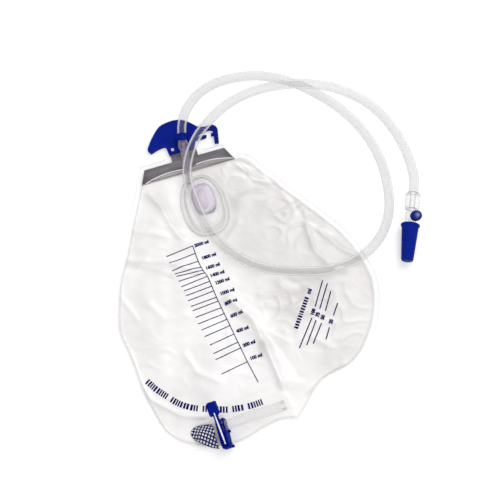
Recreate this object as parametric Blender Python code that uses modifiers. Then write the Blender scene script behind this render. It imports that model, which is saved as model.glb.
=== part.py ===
# Two litre urine drainage bag, laid flat: a welded two-film bag hung from a hook on a stiff bar,
# with a drip chamber, a drainage tube that ends in a capped adapter, and an outlet tube with a clamp.
# Metres, +Z up. +Y runs along the bag towards its hook and +X across it. The origin is on the
# underside of the back film, on the hanger bar's centre line and halfway down the film.

import math

import bmesh
import bpy
import numpy as np
from mathutils import Matrix, Vector
from mathutils.geometry import intersect_point_line

# Clearance that pieces keep where they touch
gap = 0.0003

# Films
film_thickness = 0.00035
film_top = 0.1485
film_width = 0.264
film_length = 0.3035
film_bottom = film_top - film_length
film_puff = 0.0036
puff_reach = 0.035
crease_reach = 0.009
film_columns = 28
film_rows_below_bar = 24

# Hanger bar, held between the films, and its tab
bar_thickness = 0.003
bar_height = 0.015
bar_bottom_length = 0.0966
bar_top_length = 0.0828
bar_below_edge = 0.0055
bar_weld_margin = 0.0051
bar_side_slack = 0.0042
bar_left_extra = 0.0020
tab_width = 0.0274
tab_rise = 0.0022
tongue_width = 0.0125
tongue_length = 0.0065
tongue_thickness = 0.0014
bar_stud_radius = 0.0014
bar_stud_rise = 0.0004
bar_stud_inset = 0.0062

# Hanger hook
hook_thickness = 0.0041
hook_height = 0.036
hook_left_reach = 0.033
hook_right_reach = 0.0422
hook_arm_width = 0.0048
window_width = 0.003
window_height = 0.0048
window_rise = 0.0034
clip_length = 0.0074
clip_wall = 0.0015
clip_saddle = 0.0084
clip_lean = math.radians(10.0)
hook_shift = -0.0013

# Drainage tube
tube_radius = 0.00475
tube_points = 52
tube_start_height = 0.0105

# Inlet connector
inlet_lean = math.radians(6.0)
inlet_joint = 0.0006
inlet_collar_radius = 0.0055
inlet_collar_length = 0.0055
inlet_top_radius = 0.0044
inlet_low_radius = 0.0034
inlet_nose_radius = 0.0027
inlet_bore_radius = 0.0016
inlet_drop = 0.0018

# Drip chamber
chamber_x = 0.004
chamber_y = 0.0885
chamber_half_width = 0.0195
chamber_half_length = 0.0297
chamber_squareness = 2.7
chamber_narrowing = 0.12
chamber_height = 0.0102
chamber_wall = 0.001
chamber_flange = 0.004
chamber_flange_length = 0.0033
chamber_flange_thickness = 0.001
chamber_seat = 0.0029
neck_wall = 0.0012
neck_length = 0.0065

# Anti-reflux valve and its flap, inside the drip chamber
valve_x = 0.0055
valve_y = 0.0945
valve_half_width = 0.0118
valve_half_length = 0.0165
valve_height = 0.0072
valve_wall = 0.0009
flap_width = 0.0140
flap_length = 0.0110
flap_thickness = 0.0005
flap_lift = 0.0022
film_hole_radius = 0.005

# Vent filter
vent_x = 0.042
vent_y = 0.102
vent_radius = 0.0085
vent_rim_width = 0.0014
vent_rim_height = 0.0013
vent_disc_height = 0.0006

# Outlet port and outlet tube
outlet_radius = 0.005
outlet_wall = 0.0014
outlet_points = 16
outlet_seat = 0.0012
port_x = 0.026
port_y = film_bottom + 0.0247
port_flange_radius = 0.0085
port_flange_thickness = 0.0011
port_boss_radius = 0.0052
port_boss_height = 0.0118
port_bore_radius = 0.0018
spigot_length = 0.0095
spigot_height = 0.0070
outlet_turn = math.radians(3.3)
outlet_straight = 0.0165
outlet_end_x = -0.0605
outlet_end_y = film_bottom + 0.0197

# Clamp on the outlet tube: a housing that the tube passes through, and a lever that pinches it
clamp_x = -0.0431
clamp_y = film_bottom + 0.0223
clamp_height = 0.0098
clamp_turn = math.radians(-2.0)
clamp_roll = math.radians(-15.0)
clamp_straight = 0.0064
housing_width = 0.008
housing_wall = 0.0012
tube_hole_clearance = 0.0005
housing_floor = 0.0015
housing_front = 0.007
housing_back = 0.0216
housing_top = 0.0071
front_wall_top = 0.0009
hinge_reach = 0.0175
hinge_height = 0.003
pin_radius = 0.0012
pin_play = 0.00006
lever_width = 0.0048
lever_thickness = 0.003
lever_drop = 0.0018
lever_open = math.radians(24.0)
barrel_radius = 0.0026
rib_width = 0.0018
rib_height = 0.0016
pinch_length = 0.003
pinch_depth = 0.003
head_length = 0.0132
head_width = 0.0096
head_thickness = 0.0062
head_reach = 0.0424
lug_reach = 0.0016
lug_length = 0.0042
lug_height = 0.0024

# Pocket that holds the outlet tube's end
pocket_left_x = -0.0735
pocket_left_y = film_bottom + 0.0245
pocket_mouth_x = -0.0515
pocket_mouth_y = film_bottom + 0.0155
pocket_half_width = 0.0118
pocket_bump_reach = 0.013
pocket_bump_rise = 0.0016

# Fittings at the tube's far end, along one axis
fitting_x = 0.2085
fitting_y = 0.0372
fitting_height = 0.0098
fitting_turn = math.radians(65.9)
grip_length = 0.0172
grip_radius = 0.0066
grip_rib_rise = 0.001
grip_ribs = 4
adapter_body_radius = 0.0056
adapter_taper_start = 0.034
adapter_taper_radius = 0.0063
adapter_tip_radius = 0.0043
adapter_length = 0.066
adapter_bore_radius = 0.0028
branch_position = 0.0268
branch_rise = math.radians(66.0)
branch_radius = 0.0044
branch_length = 0.0072
septum_radius = 0.0058
septum_height = 0.0048
cap_mouth_position = 0.0335
cap_length = 0.0385
cap_wall = 0.0016
cap_flange_radius = 0.0096
cap_flange_length = 0.0024
cap_tip_round = 0.0018

# Film outline, as shares of the film's width and length: across from the bar's centre line and
# down from the top edge. Each edge runs from one corner of the film to the next.
left_edge = [(-0.218, 0.076), (-0.275, 0.175), (-0.343, 0.295), (-0.384, 0.357), (-0.417, 0.437),
             (-0.443, 0.532), (-0.434, 0.595), (-0.426, 0.659), (-0.420, 0.736), (-0.403, 0.820),
             (-0.379, 0.891), (-0.337, 0.938)]
left_corner = (-0.311, 0.955)
bottom_edge = [(-0.284, 0.969), (-0.201, 0.995), (-0.114, 1.0), (-0.011, 0.980), (0.051, 0.972)]
right_corner = (0.116, 0.985)
right_edge = [(0.193, 0.044), (0.239, 0.063), (0.284, 0.122), (0.371, 0.239), (0.441, 0.326),
              (0.511, 0.428), (0.547, 0.532), (0.557, 0.588), (0.542, 0.664), (0.504, 0.741),
              (0.432, 0.822), (0.364, 0.862), (0.242, 0.888), (0.174, 0.941)]

# Folds of the front film: the line that each follows, its height and its half width
creases = [
    ([(0.004, -0.014), (0.018, -0.040), (0.022, -0.068)], 0.0048, 0.0085),
    ([(0.022, -0.068), (0.026, -0.100), (0.031, -0.146)], 0.0058, 0.0080),
    ([(-0.100, 0.062), (-0.062, 0.047), (-0.036, 0.036), (-0.016, 0.022)], 0.0026, 0.0075),
    ([(-0.044, 0.114), (-0.036, 0.098), (-0.031, 0.070), (-0.022, 0.050)], 0.0026, 0.0075),
    ([(0.031, 0.060), (0.013, 0.045)], 0.0026, 0.0075),
    ([(-0.082, 0.086), (-0.050, 0.073)], 0.0020, 0.0075),
    ([(0.054, 0.119), (0.066, 0.103), (0.078, 0.094)], 0.0024, 0.0075),
    ([(0.080, 0.058), (0.094, 0.064)], 0.0022, 0.0080),
    ([(0.098, 0.040), (0.097, 0.018)], 0.0024, 0.0080),
    ([(0.036, -0.032), (0.058, -0.036), (0.082, -0.032)], 0.0022, 0.0075),
    ([(-0.110, -0.030), (-0.106, -0.068), (-0.092, -0.098), (-0.070, -0.113)], 0.0026, 0.0080),
    ([(-0.055, -0.056), (-0.046, -0.076), (-0.031, -0.088)], 0.0022, 0.0080),
    ([(-0.100, 0.022), (-0.090, -0.006), (-0.066, -0.014)], 0.0020, 0.0080),
    ([(0.066, -0.074), (0.084, -0.092)], 0.0024, 0.0080),
    ([(0.050, -0.118), (0.072, -0.112), (0.094, -0.100)], 0.0020, 0.0080),
]

# Route of the drainage tube's centre line, from the inlet connector to the far fittings
tube_route = [
    (0.0021, 0.1583, 0.0105), (0.0028, 0.1624, 0.0105), (0.0036, 0.1668, 0.0105),
    (0.0066, 0.1770, 0.0103), (0.0130, 0.1890, 0.0092), (0.0220, 0.1995, 0.0064),
    (0.0342, 0.2083, 0.0050), (0.0550, 0.2145, 0.0048), (0.0870, 0.2125, 0.0048),
    (0.1120, 0.2035, 0.0048), (0.1350, 0.1875, 0.0048), (0.1552, 0.1662, 0.0048),
    (0.1724, 0.1419, 0.0048), (0.1844, 0.1134, 0.0048), (0.1896, 0.0818, 0.0048),
    (0.1866, 0.0492, 0.0049), (0.1785, 0.0250, 0.0053), (0.1629, 0.0045, 0.0062),
    (0.1369, -0.0104, 0.0082), (0.1011, -0.0140, 0.0100), (0.0681, -0.0056, 0.0102),
    (0.0420, 0.0060, 0.0102), (0.0260, 0.0180, 0.0108), (0.0073, 0.0416, 0.0136),
    (-0.0017, 0.0646, 0.0192), (-0.0048, 0.0878, 0.0203), (-0.0057, 0.1081, 0.0200),
    (-0.0025, 0.1255, 0.0196), (0.0061, 0.1429, 0.0190), (0.0192, 0.1599, 0.0152),
    (0.0374, 0.1749, 0.0104), (0.0567, 0.1859, 0.0080), (0.0812, 0.1918, 0.0082),
    (0.1028, 0.1911, 0.0112), (0.1221, 0.1870, 0.0149), (0.1432, 0.1811, 0.0146),
    (0.1672, 0.1725, 0.0090), (0.1862, 0.1590, 0.0055), (0.2000, 0.1428, 0.0048),
    (0.2088, 0.1252, 0.0049), (0.2146, 0.1057, 0.0053), (0.2173, 0.0849, 0.0062),
    (0.2170, 0.0680, 0.0077), (0.2138, 0.0490, 0.0094), (0.2112, 0.0432, 0.0098),
    (0.2087, 0.0376, 0.0098),
]
press_route = [(0.137, -0.011), (0.101, -0.0145), (0.068, -0.006), (0.042, 0.006), (0.026, 0.018),
               (0.008, 0.042)]
press_half_width = 0.006
press_level = 0.0047

# Levels worked out from the thicknesses
rim_level = film_thickness + gap
bar_top_level = rim_level + bar_thickness + gap
bar_top_y = film_top - bar_below_edge
bar_bottom_y = bar_top_y - bar_height
tab_end_y = film_top + tab_rise
inlet_top_y = film_top + 0.0094
hook_bottom_z = rim_level + bar_thickness / 2.0 - hook_thickness / 2.0
hook_top_z = hook_bottom_z + hook_thickness


# Collections and materials

def start_clean():
    for item in list(bpy.data.objects):
        bpy.data.objects.remove(item, do_unlink=True)
    groups = []
    for name in ("urine_drainage_bag", "cutters"):
        group = bpy.data.collections.new(name)
        bpy.context.scene.collection.children.link(group)
        groups.append(group)
    return groups


part_group, cutter_group = start_clean()


def make_material(name, colour, roughness=0.3, transmission=0.0):
    material = bpy.data.materials.new(name)
    material.use_nodes = True
    shader = material.node_tree.nodes["Principled BSDF"]
    shader.inputs["Base Color"].default_value = (*colour, 1.0)
    shader.inputs["Roughness"].default_value = roughness
    shader.inputs["Metallic"].default_value = 0.0
    shader.inputs["Transmission Weight"].default_value = transmission
    return material


def add_piece(name, data, material, parent=None, group=None):
    piece = bpy.data.objects.new(name, data)
    (group or part_group).objects.link(piece)
    if material:
        data.materials.append(material)
    piece.parent = parent
    return piece


def add_frame(name, place, turn):
    frame = bpy.data.objects.new(name, None)
    part_group.objects.link(frame)
    frame.location = place
    frame.rotation_mode = "XYZ"
    frame.rotation_euler = turn
    return frame


def as_tool(piece):
    for group in list(piece.users_collection):
        group.objects.unlink(piece)
    cutter_group.objects.link(piece)
    piece.hide_render = True
    piece.display_type = "WIRE"
    return piece


def combine(piece, tool, operation):
    as_tool(tool)
    modifier = piece.modifiers.new(tool.name, "BOOLEAN")
    modifier.operation = operation
    modifier.solver = "EXACT"
    modifier.object = tool


def round_edges(piece, width, segments=2, angle=math.radians(40.0)):
    bevel = piece.modifiers.new("rounded_edges", "BEVEL")
    bevel.width = width
    bevel.segments = segments
    bevel.limit_method = "ANGLE"
    bevel.angle_limit = angle
    bevel.use_clamp_overlap = True


def give_wall(piece, thickness, outward):
    wall = piece.modifiers.new("wall", "SOLIDIFY")
    wall.thickness = thickness
    wall.offset = 1.0 if outward else -1.0
    wall.use_even_offset = False


def shade_round(mesh, angle=math.radians(35.0)):
    mesh.shade_smooth()
    mesh.set_sharp_from_angle(angle=angle)


# Curves through chosen points

def smooth_line(points, per_span=14):
    """Centripetal Catmull-Rom curve through the points, as a dense array."""
    known = np.array(points, dtype=float)
    first = 2.0 * known[0] - known[1]
    last = 2.0 * known[-1] - known[-2]
    ctrl = np.vstack([first, known, last])
    dense = []
    for i in range(1, len(ctrl) - 2):
        p0, p1, p2, p3 = ctrl[i - 1:i + 3]
        t0 = 0.0
        t1 = t0 + math.sqrt(np.linalg.norm(p1 - p0))
        t2 = t1 + math.sqrt(np.linalg.norm(p2 - p1))
        t3 = t2 + math.sqrt(np.linalg.norm(p3 - p2))
        for t in np.linspace(t1, t2, per_span, endpoint=False):
            a1 = p0 + (p1 - p0) * (t - t0) / (t1 - t0)
            a2 = p1 + (p2 - p1) * (t - t1) / (t2 - t1)
            a3 = p2 + (p3 - p2) * (t - t2) / (t3 - t2)
            b1 = a1 + (a2 - a1) * (t - t0) / (t2 - t0)
            b2 = a2 + (a3 - a2) * (t - t1) / (t3 - t1)
            dense.append(b1 + (b2 - b1) * (t - t1) / (t2 - t1))
    dense.append(known[-1])
    return np.array(dense)


def even_points(line, count):
    """Points at equal distances along a dense line."""
    steps = np.linalg.norm(np.diff(line, axis=0), axis=1)
    run = np.concatenate([[0.0], np.cumsum(steps)])
    wanted = np.linspace(0.0, run[-1], count)
    return np.stack([np.interp(wanted, run, line[:, k]) for k in range(line.shape[1])], axis=1)


def swept_tube(name, points, radius, sides_step, material, caps=True):
    curve = bpy.data.curves.new(name, "CURVE")
    curve.dimensions = "3D"
    curve.bevel_depth = radius
    curve.bevel_resolution = sides_step
    curve.use_fill_caps = caps
    spline = curve.splines.new("POLY")
    spline.points.add(len(points) - 1)
    for point, place in zip(spline.points, points):
        point.co = (*place, 1.0)
    return add_piece(name, curve, material)


def flat_piece(name, outline, low, thickness, material, holes=(), parent=None):
    """A flat outline with thickness, as a filled two-dimensional curve."""
    curve = bpy.data.curves.new(name, "CURVE")
    curve.dimensions = "2D"
    curve.fill_mode = "BOTH"
    curve.extrude = thickness / 2.0
    for loop in (outline, *holes):
        spline = curve.splines.new("POLY")
        spline.points.add(len(loop) - 1)
        spline.use_cyclic_u = True
        for point, place in zip(spline.points, loop):
            point.co = (place[0], place[1], 0.0, 1.0)
    piece = add_piece(name, curve, material, parent)
    piece.location.z = low + thickness / 2.0
    return piece


def curve_to_mesh(piece):
    """The curve as one closed mesh in the same place, so that it can be cut and joined."""
    bpy.context.view_layer.update()
    graph = bpy.context.evaluated_depsgraph_get()
    mesh = bpy.data.meshes.new_from_object(piece.evaluated_get(graph))
    work = bmesh.new()
    work.from_mesh(mesh)
    bmesh.ops.remove_doubles(work, verts=work.verts, dist=0.000001)
    bmesh.ops.recalc_face_normals(work, faces=work.faces)
    work.to_mesh(mesh)
    work.free()
    name, parent, place = piece.name, piece.parent, piece.matrix_world.copy()
    old = piece.data
    bpy.data.objects.remove(piece, do_unlink=True)
    bpy.data.curves.remove(old)
    mesh.name = name
    solid = add_piece(name, mesh, None, parent)
    solid.matrix_world = place
    return solid


def turned_piece(name, profile, material, steps=24, parent=None):
    """A profile of (radius, height) pairs, from the top down its outer side, turned about Z."""
    mesh = bpy.data.meshes.new(name)
    points = [(radius, 0.0, height) for radius, height in profile]
    edges = [(i, i + 1) for i in range(len(points) - 1)]
    if profile[0][0] > 0.0:
        edges.append((len(points) - 1, 0))
    mesh.from_pydata(points, edges, [])
    piece = add_piece(name, mesh, material, parent)
    screw = piece.modifiers.new("turn", "SCREW")
    screw.steps = steps
    screw.render_steps = steps
    screw.use_merge_vertices = True
    screw.merge_threshold = 0.000005
    screw.use_smooth_shade = True
    screw.use_normal_calculate = False
    return piece


def box_piece(name, low, high, material, parent=None):
    mesh = bpy.data.meshes.new(name)
    work = bmesh.new()
    bmesh.ops.create_cube(work, size=1.0)
    size = Vector(high) - Vector(low)
    bmesh.ops.scale(work, vec=size, verts=work.verts)
    bmesh.ops.translate(work, vec=(Vector(high) + Vector(low)) / 2.0, verts=work.verts)
    work.to_mesh(mesh)
    work.free()
    return add_piece(name, mesh, material, parent)


def rod_piece(name, start, end, radius, material, sides=20, parent=None, end_radius=None):
    """A cylinder or cone between two points."""
    start, end = Vector(start), Vector(end)
    mesh = bpy.data.meshes.new(name)
    work = bmesh.new()
    far = radius if end_radius is None else end_radius
    bmesh.ops.create_cone(work, cap_ends=True, segments=sides, radius1=radius, radius2=far,
                          depth=(end - start).length)
    aim = (end - start).to_track_quat("Z", "Y").to_matrix().to_4x4()
    bmesh.ops.transform(work, matrix=Matrix.Translation((start + end) / 2.0) @ aim, verts=work.verts)
    work.to_mesh(mesh)
    work.free()
    shade_round(mesh)
    return add_piece(name, mesh, material, parent)


# The film's outline and heights

def film_place(share):
    return (share[0] * film_width, film_top - share[1] * film_length)


def corner_at_bar(side):
    return (side * (bar_top_length / 2.0 + bar_weld_margin * (1.0 if side < 0 else 0.0)), film_top)


top_left = (-(bar_top_length / 2.0 + bar_weld_margin), film_top)
top_right = (bar_top_length / 2.0 - bar_weld_margin * 0.18, film_top)
edge_left = smooth_line([top_left, *map(film_place, left_edge), film_place(left_corner)])
edge_right = smooth_line([top_right, *map(film_place, right_edge), film_place(right_corner)])
edge_bottom = smooth_line([film_place(left_corner), *map(film_place, bottom_edge),
                           film_place(right_corner)])
edge_top = smooth_line([top_left, top_right])


def along(line, share):
    steps = np.linalg.norm(np.diff(line, axis=0), axis=1)
    run = np.concatenate([[0.0], np.cumsum(steps)])
    wanted = share * run[-1]
    return np.array([np.interp(wanted, run, line[:, 0]), np.interp(wanted, run, line[:, 1])])


def beside(line, down):
    """Place on a side edge: level with the bar at the top, then at even distances along the edge."""
    steps = np.linalg.norm(np.diff(line, axis=0), axis=1)
    run = np.concatenate([[0.0], np.cumsum(steps)]) / np.sum(steps)
    level = float(np.interp(-(film_top - down * film_length), -line[:, 1], run))
    return along(line, level + (down - level) * ease(down, 0.09, 0.4))


def film_patch(across, down):
    """Coons patch over the film's four edges."""
    left, right = beside(edge_left, down), beside(edge_right, down)
    top, bottom = along(edge_top, across), along(edge_bottom, across)
    ruled = (1.0 - across) * left + across * right + (1.0 - down) * top + down * bottom
    corners = ((1.0 - down) * ((1.0 - across) * edge_left[0] + across * edge_right[0])
               + down * ((1.0 - across) * edge_left[-1] + across * edge_right[-1]))
    return ruled - corners


outline = np.vstack([even_points(edge_left, 34)[:-1], even_points(edge_bottom, 14)[:-1],
                     even_points(edge_right, 34)[::-1][:-1], even_points(edge_top, 6)[::-1][:-1]])


def line_distance(x, y, points):
    """Distance from a point to a chain of straight runs."""
    spot = Vector((x, y, 0.0))
    best = 1.0
    for start, end in zip(points[:-1], points[1:]):
        a, b = Vector((start[0], start[1], 0.0)), Vector((end[0], end[1], 0.0))
        near, share = intersect_point_line(spot, a, b)
        near = a if share < 0.0 else b if share > 1.0 else near
        best = min(best, (spot - near).length)
    return best


closed_outline = [tuple(point) for point in outline] + [tuple(outline[0])]


def ease(value, start, end):
    share = min(max((value - start) / (end - start), 0.0), 1.0)
    return share * share * (3.0 - 2.0 * share)


def outside_bar(x, y):
    """How far a point lies outside the hanger bar and its tab."""
    down = min(max((bar_top_y - y) / bar_height, 0.0), 1.0)
    half = (bar_top_length + (bar_bottom_length - bar_top_length) * down) / 2.0
    half += bar_left_extra if x < 0.0 else 0.0
    from_bar = max(abs(x) - half - bar_side_slack, y - bar_top_y, bar_bottom_y - y, 0.0)
    from_tab = max(abs(x) - tab_width / 2.0 - bar_side_slack, bar_bottom_y - y, 0.0)
    return min(from_bar, from_tab)


def outlet_route():
    """Centre line of the outlet tube: straight over the port's spigot and through the clamp."""
    start = Vector((port_x, port_y, outlet_seat + film_thickness + gap + spigot_height))
    aim = Vector((-math.cos(outlet_turn), -math.sin(outlet_turn), 0.0))
    clamp = Vector((clamp_x, clamp_y, clamp_height))
    through = Vector((math.cos(clamp_turn) * math.cos(clamp_roll),
                      math.sin(clamp_turn) * math.cos(clamp_roll), -math.sin(clamp_roll)))
    end_level = outlet_seat + film_thickness + gap * 2.0 + outlet_radius
    near, far = clamp + through * clamp_straight, clamp - through * clamp_straight
    inner = through * (housing_width / 2.0)
    middle = start.lerp(near, 0.55) + Vector((0.0, 0.0, 0.0012))
    points = [start, start + aim * outlet_straight * 0.5, start + aim * outlet_straight, middle, near,
              clamp + inner, clamp, clamp - inner, far,
              Vector((outlet_end_x + 0.006, outlet_end_y + 0.0006, end_level + 0.0002)),
              Vector((outlet_end_x, outlet_end_y, end_level))]
    return smooth_line(points, 10)


outlet_path = outlet_route()


def outlet_line(x):
    """The outlet tube's place across for each x, seen from above."""
    return float(np.interp(x, outlet_path[::-1, 0], outlet_path[::-1, 1]))


def outlet_height(x):
    """Height of the outlet tube's centre line for each x."""
    return float(np.interp(x, outlet_path[::-1, 0], outlet_path[::-1, 2]))


def film_level(x, y):
    """Height of the front film's underside."""
    rim = line_distance(x, y, closed_outline)
    level = rim_level + film_puff * ease(rim, 0.004, puff_reach)
    for points, height, width in creases:
        away = line_distance(x, y, points) / width
        if away < 3.0:
            level += height * math.exp(-away * away) * ease(rim, 0.001, crease_reach)
    press = 1.0 - ease(line_distance(x, y, press_route), press_half_width, press_half_width + 0.008)
    level -= press * max(level - press_level, 0.0)
    seats = (
        (math.hypot((x - chamber_x) / (chamber_half_width + chamber_flange),
                    (y - chamber_y) / (chamber_half_length + chamber_flange_length)),
         1.25, 1.65, chamber_seat),
        (math.hypot(x - vent_x, y - vent_y) / vent_radius, 1.9, 2.7, chamber_seat),
        (line_distance(x, y, [(pocket_left_x, outlet_line(pocket_left_x) - 0.004),
                              (port_x + 0.002, port_y)]) / pocket_half_width,
         1.7, 2.4, outlet_seat),
    )
    for away, inner, outer, seat in seats:
        share = 1.0 - ease(away, inner, outer)
        level += share * (seat - level)
    ramp = 1.0 - ease(outside_bar(x, y), 0.0013, 0.0038)
    return max(level, rim_level + ramp * (bar_top_level - rim_level), rim_level)


# Films

def film_row_shares():
    """Rows of the front film's grid: close together over the bar, even below it."""
    drops = [0.0, 0.0018, bar_below_edge - 0.0012, bar_below_edge + 0.002,
             bar_below_edge + bar_height * 0.5, bar_below_edge + bar_height - 0.0018,
             bar_below_edge + bar_height + 0.0014, bar_below_edge + bar_height + 0.0042]
    shares = [drop / film_length for drop in drops]
    last = shares[-1]
    for i in range(1, film_rows_below_bar + 1):
        shares.append(last + (1.0 - last) * i / film_rows_below_bar)
    return shares


def build_films(clear_film):
    back = flat_piece("back_film", outline, 0.0, film_thickness, clear_film)
    back.data.name = "back_film"
    shares = film_row_shares()
    rows = len(shares)
    mesh = bpy.data.meshes.new("front_film")
    work = bmesh.new()
    bmesh.ops.create_grid(work, x_segments=film_columns - 1, y_segments=rows - 1, size=0.5)
    for vert in work.verts:
        across = vert.co.x + 0.5
        down = shares[int(round((0.5 - vert.co.y) * (rows - 1)))]
        x, y = film_patch(across, down)
        vert.co = (x, y, film_level(x, y))
    bmesh.ops.recalc_face_normals(work, faces=work.faces)
    work.to_mesh(mesh)
    work.free()
    shade_round(mesh, math.radians(60.0))
    front = add_piece("front_film", mesh, clear_film)
    give_wall(front, film_thickness, True)
    hole_y = chamber_y - chamber_half_length * 0.62
    combine(front, rod_piece("chamber_hole", (chamber_x, hole_y, 0.0015), (chamber_x, hole_y, 0.006),
                             film_hole_radius, None), "DIFFERENCE")
    combine(front, rod_piece("port_hole", (port_x, port_y, 0.0008), (port_x, port_y, 0.004),
                             port_bore_radius + 0.001, None), "DIFFERENCE")


# Hanger bar and hook

def build_bar(smoke):
    low, high = bar_bottom_y, bar_top_y
    half_low, half_high, half_tab = bar_bottom_length / 2.0, bar_top_length / 2.0, tab_width / 2.0
    left = bar_left_extra
    shape = [(-half_low - left, low), (half_low, low), (half_high, high), (half_tab, high),
             (half_tab, tab_end_y), (-half_tab, tab_end_y), (-half_tab, high), (-half_high - left, high)]
    bar = curve_to_mesh(flat_piece("hanger_bar", shape, rim_level, bar_thickness, smoke))
    round_edges(bar, 0.0006, 2)
    middle = rim_level + bar_thickness / 2.0
    tongue = box_piece("tongue", (-tongue_width / 2.0, tab_end_y - 0.002, middle - tongue_thickness / 2.0),
                       (tongue_width / 2.0, tab_end_y + tongue_length, middle + tongue_thickness / 2.0),
                       smoke)
    combine(bar, tongue, "UNION")


def hook_outline():
    """Hook seen from above: a filled left hook, an arm with a leg on the right, and a guard finger."""
    foot = tab_end_y + gap
    half = tab_width / 2.0 - 0.0006
    top = foot + hook_height
    left, right, arm = -hook_left_reach, hook_right_reach, hook_arm_width
    crown = smooth_line([(left + 0.0026, foot + 0.0075), (left, foot + 0.0118),
                         (left + 0.0030, foot + 0.0172), (left + 0.0098, foot + 0.0258),
                         (left + 0.0185, foot + 0.0336), (-0.0060, top - 0.0003), (0.0020, top),
                         (0.0092, top - 0.0018), (0.0160, top - 0.0066), (0.0228, top - 0.0136)], 3)
    arm_top = smooth_line([(0.0228, top - 0.0136), (0.0300, top - 0.0160),
                           (right - 0.0056, top - 0.0160), (right - 0.0015, top - 0.0182),
                           (right, top - 0.0222)], 3)
    leg = [(right - 0.0030, foot - 0.0010), (right - 0.0030 - arm * 0.9, foot - 0.0002)]
    inner = [(right - arm - 0.0012, foot + 0.0086), (right - arm - 0.0036, foot + 0.0084),
             (right - arm - 0.0036, foot + 0.0106), (right - arm - 0.0008, foot + 0.0112),
             (right - arm - 0.0006, foot + 0.0138), (right - arm - 0.0032, foot + 0.0156)]
    under_arm = smooth_line([(right - arm - 0.0032, foot + 0.0156), (0.0270, foot + 0.0152),
                             (0.0215, foot + 0.0136)], 2)
    finger = [(0.0195, foot + 0.0112), (0.0272, foot + 0.0111), (0.0294, foot + 0.0104),
              (0.0286, foot + 0.0086), (0.0262, foot + 0.0082), (0.0170, foot + 0.0084)]
    base = [(half + 0.0018, foot + 0.0040), (half, foot), (-half, foot)]
    mouth = smooth_line([(-half - 0.0006, foot + 0.0050), (-half - 0.0016, foot + 0.0102),
                         (-half - 0.0068, foot + 0.0104), (left + 0.0026, foot + 0.0075)], 3)
    loops = [crown[:-1], arm_top, leg, inner[:-1], under_arm, finger, base, mouth[:-1]]
    shape = np.vstack([np.array(loop)[:, :2] for loop in loops])
    shape[:, 0] += hook_shift
    return shape


def build_hook(blue):
    foot = tab_end_y + gap
    plate = curve_to_mesh(flat_piece("hanger_hook", hook_outline(), hook_bottom_z, hook_thickness, blue))
    round_edges(plate, 0.0007, 1)
    middle = rim_level + bar_thickness / 2.0
    slot_half = tongue_width / 2.0 + gap
    combine(plate, box_piece("tongue_slot", (-slot_half, foot - 0.001, middle - tongue_thickness / 2.0 - gap),
                             (slot_half, tab_end_y + tongue_length + gap,
                              middle + tongue_thickness / 2.0 + gap), None), "DIFFERENCE")
    window_x = -tongue_width / 2.0 - gap - 0.0016 - window_width / 2.0
    combine(plate, box_piece("window", (window_x - window_width / 2.0, foot + window_rise, -0.001),
                             (window_x + window_width / 2.0, foot + window_rise + window_height, 0.01),
                             None), "DIFFERENCE")
    # Ring that holds the drainage tube on the plate
    start = Vector(tube_route[0])
    aim = Vector((math.sin(clip_lean), math.cos(clip_lean), 0.0))
    low = start + aim * 0.0004
    high = low + aim * clip_length
    combine(plate, rod_piece("clip_ring", low, high, tube_radius + gap + clip_wall, None, 24), "UNION")
    saddle = (low + high) / 2.0
    combine(plate, box_piece("clip_saddle", (saddle.x - clip_saddle / 2.0, saddle.y - clip_length * 0.45,
                                             hook_top_z - 0.0006),
                             (saddle.x + clip_saddle / 2.0, saddle.y + clip_length * 0.45,
                              tube_start_height - tube_radius * 0.6), None), "UNION")
    combine(plate, rod_piece("clip_bore", low - aim * 0.02, high + aim * 0.02, tube_radius + gap, None, 24),
            "DIFFERENCE")
    return plate


# Inlet connector and drip chamber

def inlet_axis():
    """Top end and direction of the inlet connector, which leads from the tube to the chamber."""
    down_tube = Vector((-math.sin(clip_lean), -math.cos(clip_lean), 0.0))
    top = Vector(tube_route[0]) + down_tube * (gap + inlet_joint)
    run = top.y - (chamber_y + valve_half_length + (valve_y - chamber_y) + 0.0012)
    aim = Vector((-math.tan(inlet_lean) * run, -run, -inlet_drop)).normalized()
    return top, aim, run


def build_inlet(clear):
    top, aim, run = inlet_axis()
    neck_top = run - (chamber_y + chamber_half_length + neck_length * 0.85
                      - (top.y - run))
    collar = inlet_collar_length
    profile = [(inlet_bore_radius, 0.0), (inlet_collar_radius - 0.0008, 0.0),
               (inlet_collar_radius, -0.0008), (inlet_collar_radius, -collar + 0.0006),
               (inlet_collar_radius - 0.0006, -collar), (inlet_top_radius, -collar),
               (inlet_low_radius, -neck_top), (inlet_nose_radius, -neck_top),
               (inlet_nose_radius, -run), (inlet_bore_radius, -run)]
    piece = turned_piece("inlet_connector", profile, clear, 20)
    piece.location = top
    piece.rotation_mode = "QUATERNION"
    piece.rotation_quaternion = (-aim).to_track_quat("Z", "Y")
    return neck_top


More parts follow.
